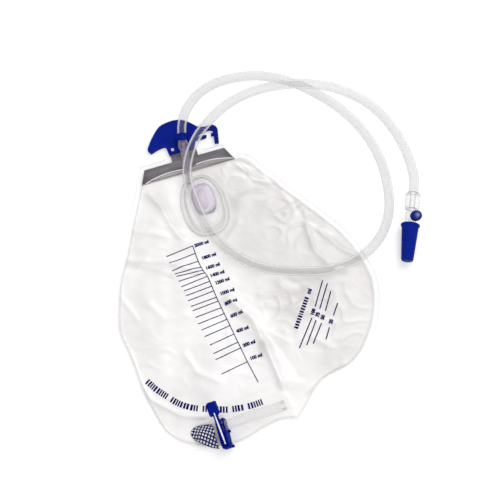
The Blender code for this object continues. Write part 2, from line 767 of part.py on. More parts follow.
def oval_shell(name, half_width, half_length, height, wall, flange, material, narrowing, steps=28, rings=6):
    """A superellipse profile spun round Z and made a rounded oval, open below, with a wall."""
    mesh = bpy.data.meshes.new(name)
    work = bmesh.new()
    profile = []
    for i in range(rings + 1):
        angle = math.pi / 2.0 * i / rings
        radius = math.sin(angle) ** (2.0 / 3.0)
        rise = math.cos(angle) ** (2.0 / 3.0) if i < rings else 0.0
        profile.append((radius * half_width, rise * height))
    if flange > 0.0:
        profile.append((half_width + flange, 0.0))
    verts = [work.verts.new((radius, 0.0, rise)) for radius, rise in profile]
    edges = [work.edges.new(pair) for pair in zip(verts[:-1], verts[1:])]
    bmesh.ops.spin(work, geom=verts + edges, cent=(0.0, 0.0, 0.0), axis=(0.0, 0.0, 1.0),
                   angle=2.0 * math.pi, steps=steps, use_merge=True)
    bmesh.ops.remove_doubles(work, verts=work.verts, dist=0.000002)
    stretch = half_length / half_width
    power = chamber_squareness
    for vert in work.verts:
        reach = math.hypot(vert.co.x, vert.co.y)
        turned = math.atan2(vert.co.y, vert.co.x)
        across, up = math.cos(turned), math.sin(turned)
        square = (abs(across) ** power + abs(up) ** power) ** (-1.0 / power)
        within, beyond = min(reach, half_width) * square, max(reach - half_width, 0.0)
        y = up * (within * stretch + beyond * chamber_flange_length / chamber_flange)
        x = across * (within + beyond) * (1.0 - narrowing * ease(y, 0.0, half_length))
        vert.co.x, vert.co.y = x, y
    bmesh.ops.recalc_face_normals(work, faces=work.faces)
    work.to_mesh(mesh)
    work.free()
    shade_round(mesh)
    shell = add_piece(name, mesh, material)
    if shell.data.polygons[0].normal.z < 0.0:
        shell.data.flip_normals()
    give_wall(shell, wall, False)
    return shell


def build_chamber(clear, violet, neck_top):
    flange_low = chamber_seat + film_thickness + gap
    shell = oval_shell("drip_chamber_shell", chamber_half_width, chamber_half_length, chamber_height,
                       chamber_wall, chamber_flange, clear, chamber_narrowing)
    shell.location = (chamber_x, chamber_y, flange_low + chamber_flange_thickness)
    top, aim, run = inlet_axis()
    neck_low = top + aim * (run - 0.0012)
    neck_high = top + aim * (neck_top + gap)
    outer = inlet_nose_radius + gap + neck_wall
    combine(shell, rod_piece("chamber_neck", neck_low, neck_high, outer, None, 20), "UNION")
    combine(shell, rod_piece("chamber_bore", neck_low + aim * 0.004, neck_high - aim * 0.004,
                             inlet_nose_radius + gap, None, 20), "DIFFERENCE")

    valve_low = flange_low + gap
    valve = oval_shell("reflux_valve", valve_half_width, valve_half_length, valve_height, valve_wall,
                       0.0, violet, 0.0, 20, 5)
    valve.location = (valve_x, valve_y, valve_low)

    mesh = bpy.data.meshes.new("reflux_flap")
    work = bmesh.new()
    bmesh.ops.create_grid(work, x_segments=6, y_segments=6, size=0.5)
    flap_top = valve_y - valve_half_length - 0.0004
    for vert in work.verts:
        share = 0.5 - vert.co.y
        curl = 0.0009 * math.sin(vert.co.x * math.pi * 2.0) * share
        narrow = 1.0 - 0.16 * share * share
        vert.co = (valve_x + vert.co.x * flap_width * narrow, flap_top - share * flap_length,
                   valve_low + flap_lift + curl - 0.0008 * share)
    bmesh.ops.recalc_face_normals(work, faces=work.faces)
    work.to_mesh(mesh)
    work.free()
    flap = add_piece("reflux_flap", mesh, clear)
    give_wall(flap, flap_thickness, True)


def build_vent(white):
    inner = vent_radius - vent_rim_width
    profile = [(0.0, vent_disc_height), (inner, vent_disc_height), (inner, vent_rim_height),
               (vent_radius - 0.0002, vent_rim_height), (vent_radius, vent_rim_height - 0.0003),
               (vent_radius, 0.0), (0.0, 0.0)]
    vent = turned_piece("vent_filter", profile, white, 24)
    vent.location = (vent_x, vent_y, chamber_seat + film_thickness + gap)


# Outlet port, outlet tube, pocket and clamp

def build_outlet(clear, clear_film):
    film_up = outlet_seat + film_thickness + gap
    port = turned_piece("outlet_port", [
        (0.0, port_boss_height), (port_boss_radius - 0.0012, port_boss_height),
        (port_boss_radius, port_boss_height - 0.0012), (port_boss_radius, port_flange_thickness),
        (port_flange_radius, port_flange_thickness), (port_flange_radius, 0.0), (0.0, 0.0)], clear, 24)
    port.location = (port_x, port_y, film_up)
    level = outlet_height(port_x)
    aim = Vector((-math.cos(outlet_turn), -math.sin(outlet_turn), 0.0))
    start = Vector((port_x, port_y, level))
    inner = outlet_radius - outlet_wall - gap * 2.5
    tip = start + aim * (port_boss_radius + spigot_length)
    combine(port, rod_piece("spigot", start, tip, inner, None, 16), "UNION")
    combine(port, rod_piece("spigot_bore", start, tip + aim * 0.002, port_bore_radius, None, 12),
            "DIFFERENCE")
    combine(port, rod_piece("boss_bore", (port_x, port_y, film_up - 0.002), (port_x, port_y, level + 0.001),
                            port_bore_radius, None, 12), "DIFFERENCE")

    steps = np.linalg.norm(outlet_path - np.array(start), axis=1)
    clear_of_boss = outlet_path[steps > port_boss_radius + gap]
    first = np.array(start + aim * (port_boss_radius + gap))
    places = even_points(np.vstack([first, clear_of_boss]), outlet_points)
    tube = curve_to_mesh(swept_tube("outlet_tube", places, outlet_radius, 2, clear, caps=False))
    give_wall(tube, outlet_wall, False)

    mesh = bpy.data.meshes.new("outlet_pocket")
    work = bmesh.new()
    bmesh.ops.create_grid(work, x_segments=10, y_segments=11, size=0.5)
    left = Vector((pocket_left_x, pocket_left_y))
    mouth = Vector((pocket_mouth_x, pocket_mouth_y))
    side = Vector((0.0, 1.0))
    for vert in work.verts:
        run = vert.co.x + 0.5
        half = pocket_half_width * math.sqrt(max(1.0 - (1.0 - run) ** 2, 0.0))
        half = max(half, 0.0012)
        spot = left.lerp(mouth, run) + side * (vert.co.y * 2.0 * half)
        vert.co = (spot.x, spot.y, pocket_level(spot.x, spot.y))
    bmesh.ops.recalc_face_normals(work, faces=work.faces)
    work.to_mesh(mesh)
    work.free()
    pocket = add_piece("outlet_pocket", mesh, clear_film)
    if pocket.data.polygons[0].normal.z < 0.0:
        pocket.data.flip_normals()
    give_wall(pocket, film_thickness, True)


def pocket_level(x, y):
    """Underside of the pocket: on the front film, raised in a smooth hump over the tube's end."""
    resting = outlet_seat + film_thickness + gap
    over_tube = outlet_height(max(x, outlet_end_x)) + outlet_radius + pocket_bump_rise - resting
    beyond = ease(outlet_end_x - x, 0.0028, outlet_end_x - pocket_left_x)
    away = abs(y - outlet_line(x)) / pocket_bump_reach
    hump = math.cos(min(away, 1.0) * math.pi / 2.0) ** 2
    return resting + over_tube * hump * (1.0 - beyond)


def build_clamp(blue):
    frame = add_frame("clamp_frame", (clamp_x, clamp_y, clamp_height), (0.0, clamp_roll, clamp_turn))
    half = housing_width / 2.0
    floor_low = -(outlet_radius + gap + housing_floor)
    # Local axes: X along the tube, -Y towards the hinge end, Z up
    side_view = [(housing_front, floor_low), (housing_front, front_wall_top + 0.0042),
                 (housing_front - 0.0016, housing_top), (-housing_back + 0.0036, housing_top),
                 (-housing_back, housing_top - 0.0036), (-housing_back, floor_low)]
    curve = bpy.data.curves.new("clamp_housing", "CURVE")
    curve.dimensions = "2D"
    curve.fill_mode = "BOTH"
    curve.extrude = half
    spline = curve.splines.new("POLY")
    spline.points.add(len(side_view) - 1)
    spline.use_cyclic_u = True
    for point, place in zip(spline.points, side_view):
        point.co = (*place, 0.0, 1.0)
    housing = add_piece("clamp_housing", curve, blue, frame)
    housing.rotation_euler = (math.pi / 2.0, 0.0, math.pi / 2.0)
    housing = curve_to_mesh(housing)
    round_edges(housing, 0.0005, 1)
    cavity = half - housing_wall
    cavity_back = -(hinge_reach + barrel_radius + gap)
    combine(housing, box_piece("clamp_cavity", (-cavity, cavity_back, floor_low + housing_floor),
                               (cavity, housing_front - 0.0014, 0.03), None, frame), "DIFFERENCE")
    combine(housing, box_piece("clamp_front_notch", (-cavity, 0.0, front_wall_top),
                               (cavity, housing_front + 0.002, 0.03), None, frame), "DIFFERENCE")
    combine(housing, rod_piece("clamp_tube_hole", (-0.02, 0.0, 0.0), (0.02, 0.0, 0.0),
                               outlet_radius + tube_hole_clearance, None, 20, frame), "DIFFERENCE")
    combine(housing, rod_piece("clamp_pin_hole", (-0.02, -hinge_reach, hinge_height),
                               (0.02, -hinge_reach, hinge_height), pin_radius + gap, None, 16, frame),
            "DIFFERENCE")
    lugs = (("upper_lug", 1.0, -0.0070), ("end_lug", 1.0, -housing_back), ("left_lug", -1.0, 0.0043))
    for name, direction, near in lugs:
        ends = sorted((direction * (half - 0.0006), direction * (half + lug_reach)))
        combine(housing, box_piece(name, (ends[0], near, floor_low + 0.0004),
                                   (ends[1], near + lug_length * 0.6, floor_low + lug_height), None, frame),
                "UNION")

    pin = rod_piece("clamp_pin", (-half + 0.0003, -hinge_reach, hinge_height),
                    (half - 0.0003, -hinge_reach, hinge_height), pin_radius, blue, 24, frame)
    pin.data.name = "clamp_pin"
    build_lever(blue, frame)


def build_lever(blue, frame):
    """The lever, drawn closed about its hinge and then swung open as it is supplied."""
    beam_low = -lever_drop
    beam_high = beam_low + lever_thickness
    tip = head_reach
    pinch = hinge_reach
    side_view = [(0.0, beam_low), (pinch - pinch_length / 2.0, beam_low),
                 (pinch - pinch_length / 4.0, beam_low - pinch_depth),
                 (pinch + pinch_length / 4.0, beam_low - pinch_depth),
                 (pinch + pinch_length / 2.0, beam_low), (tip - 0.002, beam_low),
                 (tip - 0.002, beam_high), (0.0, beam_high)]
    beam_half = lever_width / 2.0 - 0.0002
    mesh = bpy.data.meshes.new("clamp_lever")
    work = bmesh.new()
    side = work.faces.new([work.verts.new((-beam_half, y, z)) for y, z in side_view])
    grown = bmesh.ops.extrude_face_region(work, geom=[side])["geom"]
    bmesh.ops.translate(work, vec=(beam_half * 2.0, 0.0, 0.0),
                        verts=[piece for piece in grown if isinstance(piece, bmesh.types.BMVert)])
    bmesh.ops.recalc_face_normals(work, faces=work.faces)
    work.to_mesh(mesh)
    work.free()
    lever = add_piece("clamp_lever", mesh, blue, frame)
    lever.parent = frame
    lever.matrix_parent_inverse = Matrix.Identity(4)
    lever.location = (0.0, -hinge_reach, hinge_height)
    lever.rotation_mode = "XYZ"
    lever.rotation_euler = (lever_open, 0.0, 0.0)
    half = lever_width / 2.0
    head = box_piece("lever_head", (-head_width / 2.0, tip - head_length, beam_low - 0.0006),
                     (head_width / 2.0, tip, beam_low - 0.0006 + head_thickness), None, lever)
    round_edges(head, 0.001, 1)
    combine(lever, rod_piece("lever_barrel", (-half, 0.0, 0.0), (half, 0.0, 0.0), barrel_radius, None, 20,
                             lever), "UNION")
    combine(lever, head, "UNION")
    crest = beam_high + rib_height - rib_width / 2.0
    combine(lever, box_piece("rib_foot", (-rib_width * 0.42, 0.0036, beam_high - 0.0004),
                             (rib_width * 0.42, tip - head_length + 0.002, crest), None, lever), "UNION")
    combine(lever, rod_piece("lever_rib", (0.0, 0.004, crest), (0.0, tip - head_length + 0.0025, crest),
                             rib_width / 2.0, None, 12, lever), "UNION")
    combine(lever, rod_piece("lever_bore", (-0.02, 0.0, 0.0), (0.02, 0.0, 0.0), pin_radius + pin_play,
                             None, 24, lever), "DIFFERENCE")


# Fittings at the tube's far end

def build_fittings(clear, blue):
    frame = add_frame("fitting_frame", (fitting_x, fitting_y, fitting_height),
                      (0.0, math.radians(90.0), fitting_turn))
    # Local Z runs back along the tube, so heights along the axis are written negative
    pitch = (grip_length - 0.002) / grip_ribs
    profile = [(adapter_bore_radius, 0.0), (grip_radius, 0.0)]
    for i in range(grip_ribs):
        start = -(0.001 + i * pitch)
        profile += [(grip_radius, start), (grip_radius + grip_rib_rise, start - pitch * 0.2),
                    (grip_radius + grip_rib_rise, start - pitch * 0.6), (grip_radius, start - pitch * 0.8)]
    profile += [(grip_radius, -grip_length), (adapter_bore_radius, -grip_length)]
    grip = turned_piece("adapter_grip", profile, clear, 20, frame)

    def taper_radius(position):
        share = (position - adapter_taper_start) / (adapter_length - adapter_taper_start)
        return adapter_taper_radius + (adapter_tip_radius - adapter_taper_radius) * share

    start = grip_length + gap
    adapter = turned_piece("catheter_adapter", [
        (adapter_bore_radius, -start), (adapter_body_radius, -start),
        (adapter_body_radius, -adapter_taper_start + 0.0022),
        (adapter_taper_radius, -adapter_taper_start),
        (taper_radius(adapter_length), -adapter_length + 0.0006),
        (taper_radius(adapter_length) - 0.0006, -adapter_length),
        (adapter_bore_radius, -adapter_length)], clear, 24, frame)
    rise = Vector((-math.sin(branch_rise), -math.cos(branch_rise), 0.0))
    root = Vector((0.0, 0.0, -branch_position)) + rise * (adapter_bore_radius + 0.0008)
    out = Vector((0.0, 0.0, -branch_position)) + rise * (branch_length + 0.001)
    combine(adapter, rod_piece("branch", root, out, branch_radius, None, 16, frame), "UNION")

    septum = turned_piece("sample_port_septum", [
        (0.0, septum_height), (septum_radius * 0.42, septum_height - 0.0002),
        (septum_radius * 0.78, septum_height - 0.0011), (septum_radius, septum_height - 0.0026),
        (septum_radius, 0.0006), (septum_radius - 0.0006, 0.0), (0.0, 0.0)], blue, 24, frame)
    septum.location = out + rise * gap
    septum.rotation_mode = "QUATERNION"
    septum.rotation_quaternion = rise.to_track_quat("Z", "Y")

    mouth, end = cap_mouth_position, cap_mouth_position + cap_length
    inner_end = adapter_length + gap * 2.0
    mouth_inner = adapter_taper_radius + gap * 2.0
    cap = turned_piece("protective_cap", [
        (0.0, -inner_end), (taper_radius(adapter_length) + gap, -inner_end),
        (mouth_inner, -mouth), (cap_flange_radius - 0.0004, -mouth),
        (cap_flange_radius, -mouth - 0.0004), (cap_flange_radius, -mouth - cap_flange_length + 0.0004),
        (cap_flange_radius - 0.0004, -mouth - cap_flange_length),
        (mouth_inner + cap_wall, -mouth - cap_flange_length - 0.0004),
        (taper_radius(adapter_length) + gap + cap_wall, -end + cap_tip_round),
        (taper_radius(adapter_length) + gap + cap_wall - cap_tip_round * 0.35, -end + cap_tip_round * 0.3),
        (taper_radius(adapter_length) + gap + cap_wall - cap_tip_round, -end),
        (0.0, -end)], blue, 24, frame)
    return grip, adapter, cap


def build_drainage_tube(clear):
    line = smooth_line(tube_route)
    # The part inside the hook's ring stays straight
    beyond_ring = np.linalg.norm(line - line[0], axis=1) > clip_length + 0.001
    points = np.vstack([line[:1], even_points(line[np.argmax(beyond_ring):], tube_points - 1)])
    swept_tube("drainage_tube", points, tube_radius, 3, clear)


clear_film = make_material("clear_film", (0.86, 0.87, 0.88), 0.12, 0.9)
clear_plastic = make_material("clear_plastic", (0.92, 0.93, 0.94), 0.08, 0.95)
violet_plastic = make_material("violet_plastic", (0.62, 0.50, 0.74), 0.15, 0.7)
blue_plastic = make_material("blue_plastic", (0.01, 0.03, 0.27), 0.32)
smoke_plastic = make_material("smoke_plastic", (0.16, 0.15, 0.17), 0.25, 0.4)
white_filter = make_material("white_filter", (0.88, 0.88, 0.86), 0.7)

build_films(clear_film)
build_bar(smoke_plastic)
build_hook(blue_plastic)
neck_position = build_inlet(clear_plastic)
build_chamber(clear_plastic, violet_plastic, neck_position)
build_vent(white_filter)
build_outlet(clear_plastic, clear_film)
build_clamp(blue_plastic)
build_fittings(clear_plastic, blue_plastic)
build_drainage_tube(clear_plastic)
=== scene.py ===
import math
import bmesh
import bpy
import numpy as np
from mathutils import Matrix, Vector


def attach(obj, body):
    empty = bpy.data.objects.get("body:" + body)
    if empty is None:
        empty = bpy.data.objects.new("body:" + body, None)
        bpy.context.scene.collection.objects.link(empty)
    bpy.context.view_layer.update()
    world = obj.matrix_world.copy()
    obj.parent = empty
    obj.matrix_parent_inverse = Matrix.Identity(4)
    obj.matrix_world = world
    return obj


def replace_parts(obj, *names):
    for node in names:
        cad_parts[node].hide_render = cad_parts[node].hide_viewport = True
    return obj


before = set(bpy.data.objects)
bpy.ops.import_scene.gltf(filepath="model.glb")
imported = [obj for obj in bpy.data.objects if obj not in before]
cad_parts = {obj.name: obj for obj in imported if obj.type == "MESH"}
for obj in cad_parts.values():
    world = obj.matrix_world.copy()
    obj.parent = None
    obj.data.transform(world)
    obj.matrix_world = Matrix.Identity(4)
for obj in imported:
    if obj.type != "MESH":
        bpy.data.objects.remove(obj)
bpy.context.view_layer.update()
print("packed bag loaded")


# shader nodes

def setInputs(tree, node, inputs):
    # each input is set to a plain value or linked to a socket
    for name, value in inputs.items():
        if isinstance(value, bpy.types.NodeSocket):
            tree.links.new(value, node.inputs[name])
        else:
            node.inputs[name].default_value = value


def addNode(tree, kind, inputs=None, **settings):
    node = tree.nodes.new("ShaderNode" + kind)
    for name, value in settings.items():
        setattr(node, name, value)
    setInputs(tree, node, inputs or {})
    return node


def sumsIn(tree):
    # gives a function that adds one Math node and returns its result
    return lambda operation, *values: addNode(tree, "Math", dict(enumerate(values)), operation=operation).outputs[0]


def mixedColour(tree, factor, first, second, way="MIX"):
    mix = addNode(tree, "Mix", {"Factor": factor, "A": first, "B": second}, data_type="RGBA", blend_type=way)
    return mix.outputs["Result"]


def markSocket(tree, name):
    return addNode(tree, "Attribute", attribute_name=name).outputs["Fac"]


def objectPlace(tree):
    return addNode(tree, "TexCoord").outputs["Object"]


def addObject(name, data):
    holder = bpy.data.objects.new(name, data)
    bpy.context.scene.collection.objects.link(holder)
    return holder


# camera, lamps and floor

cameraSetup = {"place": (-0.0837, -0.3530, 1.2364), "aim": (0.0338, 0.0312, 0.0), "lens": 93.6, "sensor": 36.0}
lampSetup = {
    "world": 0.62, "aim": (0.04, 0.0, 0.0), "bounces": (32, 16, 14),  # through clear faces, in all, refracted
    "lamps": {  # place, size and power
        "keyLamp": ((0.75, 0.55, 1.30), 1.2, 12.6), "frontLamp": ((0.10, -0.95, 1.20), 0.45, 3.4)},
}
floorSetup = {"reach": 2.5, "below": 0.0002, "colour": (0.62, 0.62, 0.625, 1.0), "lift": 0.43, "roughness": 0.8,
              "specular": 0.1}
white = (1.0, 1.0, 1.0, 1.0)


def addPointed(name, data, place, aim):
    # a camera or lamp at one place, turned to look at another
    holder = addObject(name, data)
    holder.location = place
    holder.rotation_euler = (Vector(aim) - holder.location).to_track_quat("-Z", "Y").to_euler()
    return holder


def makeCamera():
    data = bpy.data.cameras.new("camera")
    data.lens, data.sensor_width, data.clip_start = cameraSetup["lens"], cameraSetup["sensor"], 0.01
    bpy.context.scene.camera = addPointed("camera", data, cameraSetup["place"], cameraSetup["aim"])


def seenRays(tree):
    # 1 for camera, glossy and transmission rays, which see the plain white background
    sums, path = sumsIn(tree), addNode(tree, "LightPath").outputs
    return sums("MAXIMUM", sums("MAXIMUM", path["Is Camera Ray"], path["Is Glossy Ray"]), path["Is Transmission Ray"])


def makeStage():
    world = bpy.data.worlds.new("studio")
    bpy.context.scene.world = world
    world.use_nodes = True
    tree = world.node_tree
    level = addNode(tree, "MapRange", {"Value": seenRays(tree), "To Min": lampSetup["world"], "To Max": 1.0})
    setInputs(tree, tree.nodes["Background"], {"Color": white, "Strength": level.outputs["Result"]})

    mesh, reach = bpy.data.meshes.new("floor"), floorSetup["reach"]
    mesh.from_pydata([(x * reach, y * reach, 0.0) for x, y in ((-1, -1), (1, -1), (1, 1), (-1, 1))], [], [(0, 1, 2, 3)])
    floor = addObject("floor", mesh)
    floor.location.z = -floorSetup["below"]
    mesh.materials.append(bpy.data.materials.new("paleFloor"))
    material = mesh.materials[0]
    material.use_nodes = True
    tree = material.node_tree
    setInputs(tree, tree.nodes["Principled BSDF"], {
        "Base Color": floorSetup["colour"], "Roughness": floorSetup["roughness"],
        "Specular IOR Level": floorSetup["specular"], "Emission Color": white,
        "Emission Strength": sumsIn(tree)("MULTIPLY", seenRays(tree), floorSetup["lift"])})

    for name, (place, size, power) in lampSetup["lamps"].items():
        lamp = bpy.data.lights.new(name, "AREA")
        lamp.size, lamp.energy = size, power
        addPointed(name, lamp, place, lampSetup["aim"])
    scene = bpy.context.scene
    scene.view_settings.view_transform = "Standard"
    cycles = scene.cycles
    cycles.transparent_max_bounces, cycles.max_bounces, cycles.transmission_bounces = lampSetup["bounces"]


makeCamera()
makeStage()
print("camera, floor and lamps placed")


# materials

def makeMouldedGrain():
    # fine mottling of a moulded surface: two sizes of noise move colour, roughness and height a little
    group = bpy.data.node_groups.new("mouldedGrain", "ShaderNodeTree")
    kinds = {"Vector": "Vector", "Colour": "Color", "Shade": "Color"}
    for label in ("Vector", "Colour", "Shade", "Roughness", "Spread", "Coarse", "Fine"):
        group.interface.new_socket(name=label, in_out="INPUT", socket_type="NodeSocket" + kinds.get(label, "Float"))
    for label in ("Colour", "Roughness", "Height"):
        group.interface.new_socket(name=label, in_out="OUTPUT", socket_type="NodeSocket" + kinds.get(label, "Float"))
    source, sums = group.nodes.new("NodeGroupInput").outputs, sumsIn(group)
    coarse, fine = (
        addNode(group, "TexNoise", {"Vector": source["Vector"], "Scale": source[scale], "Detail": 3.0}).outputs["Fac"]
        for scale in ("Coarse", "Fine"))
    mottle = addNode(group, "MapRange", {"Value": coarse, "From Min": 0.35, "From Max": 0.65}).outputs["Result"]
    setInputs(group, group.nodes.new("NodeGroupOutput"), {
        "Colour": mixedColour(group, mottle, source["Colour"], source["Shade"]), "Height": fine,
        "Roughness": sums("MULTIPLY_ADD", sums("SUBTRACT", fine, 0.5), source["Spread"], source["Roughness"])})
    return group


mouldedGrain = makeMouldedGrain()


def newMaterial(name, colour, shade, roughness, spread=0.1, coarse=60.0, fine=900.0, bump=0.05, ior=1.46, coat=0.0,
                specular=0.5):
    # a Principled surface whose colour, roughness and bump come from the grain group
    material = bpy.data.materials.new(name)
    material.use_nodes = True
    tree = material.node_tree
    shader = tree.nodes["Principled BSDF"]
    grain = addNode(tree, "Group", {
        "Vector": objectPlace(tree), "Colour": (*colour, 1.0), "Shade": (*shade, 1.0), "Roughness": roughness,
        "Spread": spread, "Coarse": coarse, "Fine": fine}, node_tree=mouldedGrain).outputs
    relief = addNode(tree, "Bump", {"Strength": bump, "Distance": 0.0002, "Height": grain["Height"]})
    setInputs(tree, shader, {
        "Base Color": grain["Colour"], "Roughness": grain["Roughness"], "Normal": relief.outputs["Normal"], "IOR": ior,
        "Coat Weight": coat, "Coat Roughness": 0.06, "Specular IOR Level": specular})
    return material, tree, shader, grain["Colour"]


def wallRamp(tree, facing, stops):
    # grey level and opacity by how far the wall turns away
    ramp = addNode(tree, "ValToRGB", {"Fac": facing})
    elements = ramp.color_ramp.elements
    while len(elements) < len(stops):
        elements.new(0.5)
    for element, (place, level, opacity) in zip(elements, stops):
        element.position = place
        element.color = (level, level, level, opacity)
    return ramp.outputs["Color"], ramp.outputs["Alpha"]


def clearMaterial(name, tint, roughness, stops, inside=None, **more):
    # clear plastic seen through a wall: each stop is (how far the wall turns away, grey level, opacity), because a wall
    # is nearly see-through square on and dense edge on, and its grey levels are painted reflections and painted shade;
    # "inside" gives the stops where "inner" is 1, and the shade mark paints shade on thick ends seen edge on and under
    # rims
    material, tree, shader, grain = newMaterial(
        name, tint, tuple(0.96 * c for c in tint), roughness, spread=0.05, bump=0.03, **more)
    sums, facing = sumsIn(tree), addNode(tree, "LayerWeight", {"Blend": 0.5}).outputs["Facing"]
    colour, opacity = wallRamp(tree, facing, stops)
    if inside:
        inner = markSocket(tree, "inner")
        innerColour, innerOpacity = wallRamp(tree, facing, inside)
        colour = mixedColour(tree, inner, colour, innerColour)
        opacity = sums("ADD", sums("MULTIPLY", opacity, sums("SUBTRACT", 1.0, inner)),
                       sums("MULTIPLY", innerOpacity, inner))
    colour = mixedColour(tree, 1.0, colour, grain, "MULTIPLY")
    turned = sums("MINIMUM", sums("MULTIPLY_ADD", facing, 1.5, 0.15), 1.0)
    paintedShadeMask = sums("MULTIPLY", markSocket(tree, "paintedShade"), turned)
    opacity = sums("MAXIMUM", opacity, sums("MULTIPLY", paintedShadeMask, 0.85))
    shadow = addNode(tree, "LightPath").outputs["Is Shadow Ray"]  # most light falls through clear plastic
    # the shade mark paints a near-black shade colour on these walls
    setInputs(tree, shader, {
        "Base Color": mixedColour(tree, paintedShadeMask, colour, (0.06, 0.05, 0.07, 1.0)),
        "Alpha": sums("MULTIPLY", opacity, sums("MULTIPLY_ADD", shadow, -0.8, 1.0))})
    return material


def filmMaterial(name, body, tint, clear, milky, roughness):
    # film: see-through where it is welded or pressed flat, milkier where it is loose, greyer where "shade" says so
    material, tree, shader, grain = newMaterial(
        name, body, tint, roughness, spread=0.12, coarse=22.0, fine=420.0, bump=0.35, ior=1.5, specular=0.6)
    shaded = mixedColour(tree, markSocket(tree, "shade"), white, (0.70, 0.69, 0.685, 1.0))
    opacity = addNode(tree, "MapRange", {"Value": markSocket(tree, "milk"), "To Min": clear, "To Max": milky})
    setInputs(tree, shader, {
        "Base Color": mixedColour(tree, 1.0, grain, shaded, "MULTIPLY"), "Alpha": opacity.outputs["Result"]})
    return material


def plainMaterial(name, colour, shade, roughness, alpha=1.0, **more):
    material, tree, shader, _ = newMaterial(name, colour, shade, roughness, **more)
    shader.inputs["Alpha"].default_value = alpha
    return material


def makeSmoke():
    # tinted bar: long soft pale streaks painted on as highlights, darker towards both ends and on its tab
    material, tree, shader, grain = newMaterial(
        "smokeFinish", (0.10, 0.088, 0.104), (0.135, 0.118, 0.134), 0.3, bump=0.1, specular=0.1)
    sums, place = sumsIn(tree), objectPlace(tree)
    stretch = addNode(tree, "Mapping", {"Vector": place, "Scale": (28.0, 190.0, 20.0)}).outputs["Vector"]
    streaks = addNode(tree, "TexNoise", {"Vector": stretch, "Scale": 1.0, "Detail": 2.0}).outputs["Fac"]
    paintedStreaks = addNode(tree, "MapRange", {"Value": streaks, "From Min": 0.46, "From Max": 0.72}).outputs["Result"]
    split = addNode(tree, "SeparateXYZ", {"Vector": place}).outputs

    def rising(value, slope, start):
        return sums("MINIMUM", sums("MAXIMUM", sums("MULTIPLY_ADD", value, slope, start), 0.0), 1.0)

    ends, tab = rising(sums("ABSOLUTE", split["X"]), 90.0, -3.2), rising(split["Y"], 120.0, -16.9)
    # the pale streak colour is a painted highlight
    colour = mixedColour(tree, paintedStreaks, grain, (0.24, 0.21, 0.235, 1.0))
    darker = sums("MAXIMUM", sums("MULTIPLY", ends, 0.7), sums("MULTIPLY", tab, 0.4))
    setInputs(tree, shader, {"Base Color": mixedColour(tree, darker, colour, (0.035, 0.035, 0.05, 1.0))})
    return material


def makeLeverFinish():
    # the lever's blue, with a painted highlight along the crest of its rib: up, run and across are measured from the
    # crest's first point, each as (p - start) . direction
    material, tree, shader, grain = newMaterial(
        "leverFinish", (0.002, 0.007, 0.18), (0.003, 0.012, 0.24), 0.5, bump=0.1, specular=0.02)
    start, sums = (-0.04527, -0.14724, 0.01592), sumsIn(tree)
    away = addNode(tree, "VectorMath", {0: objectPlace(tree), 1: start}, operation="SUBTRACT").outputs["Vector"]
    up, run, across = (
        addNode(tree, "VectorMath", {0: away, 1: heading}, operation="DOT_PRODUCT").outputs["Value"]
        for heading in ((0.0235, -0.3922, 0.9196), (-0.0743, 0.9165, 0.3931), (0.9970, 0.0775, 0.0076)))
    lowest = sums("MULTIPLY_ADD", sums("GREATER_THAN", run, 0.0), 0.0012, -0.0009)
    withinRib = sums("MULTIPLY", sums("GREATER_THAN", run, -0.0035), sums("LESS_THAN", run, 0.0285))
    crest = sums("MULTIPLY", sums("GREATER_THAN", up, lowest), withinRib)
    halfWidth = sums("MULTIPLY_ADD", sums("ABSOLUTE", sums("SUBTRACT", run, 0.010)), -0.018, 0.00082)
    thin = sums("LESS_THAN", sums("ABSOLUTE", across), halfWidth)
    paintedCrestHighlight = sums("MULTIPLY", crest, thin)
    # the pale crest colour is a painted highlight
    setInputs(tree, shader, {"Base Color": mixedColour(tree, paintedCrestHighlight, grain, (0.84, 0.88, 0.96, 1.0))})
    return material


def makeSeptumFinish():
    # soft blue disc with a painted highlight in its middle
    material, tree, shader, grain = newMaterial(
        "septumFinish", (0.001, 0.008, 0.15), (0.002, 0.014, 0.21), 0.2, coat=0.2, specular=0.05)
    setInputs(tree, shader, {"Base Color": mixedColour(tree, markSocket(tree, "paintedCentreHighlight"), grain, (0.22, 0.32, 0.58, 1.0))})
    return material


frontFilmFinish = filmMaterial("frontFilmFinish", (0.992, 0.981, 0.976), (0.982, 0.962, 0.956), 0.02, 0.92, 0.34)
backFilmFinish = filmMaterial("backFilmFinish", (0.96, 0.96, 0.96), (0.94, 0.935, 0.935), 0.03, 0.45, 0.35)
# in the clear finishes below, the pale bands in the stops are painted reflections and the grey edge levels painted
# shade
tubeFinish = clearMaterial("tubeFinish", (0.98, 0.98, 0.985), 0.12, [
    (0.0, 0.14, 0.095), (0.16, 0.22, 0.11), (0.30, 0.80, 0.18), (0.45, 1.0, 0.38), (0.60, 0.66, 0.50),
    (1.0, 0.50, 0.78)],
    [(0.0, 0.14, 0.03), (0.36, 0.5, 0.06), (0.62, 1.0, 0.50), (1.0, 1.0, 0.75)], specular=0.12)
outletFinish = clearMaterial("outletFinish", (0.97, 0.96, 0.96), 0.14, [
    (0.0, 0.70, 0.12), (0.25, 0.74, 0.14), (0.45, 0.88, 0.22), (0.7, 0.62, 0.42), (1.0, 0.55, 0.55)],
    [(0.0, 0.70, 0.06), (0.4, 0.85, 0.10), (0.8, 0.80, 0.30), (1.0, 0.75, 0.35)], specular=0.35)
clearFinish = clearMaterial("clearFinish", (0.98, 0.98, 0.985), 0.10, [
    (0.0, 0.92, 0.12), (0.3, 0.94, 0.16), (0.55, 0.95, 0.36), (0.8, 0.80, 0.45), (1.0, 0.66, 0.55)], specular=0.35)
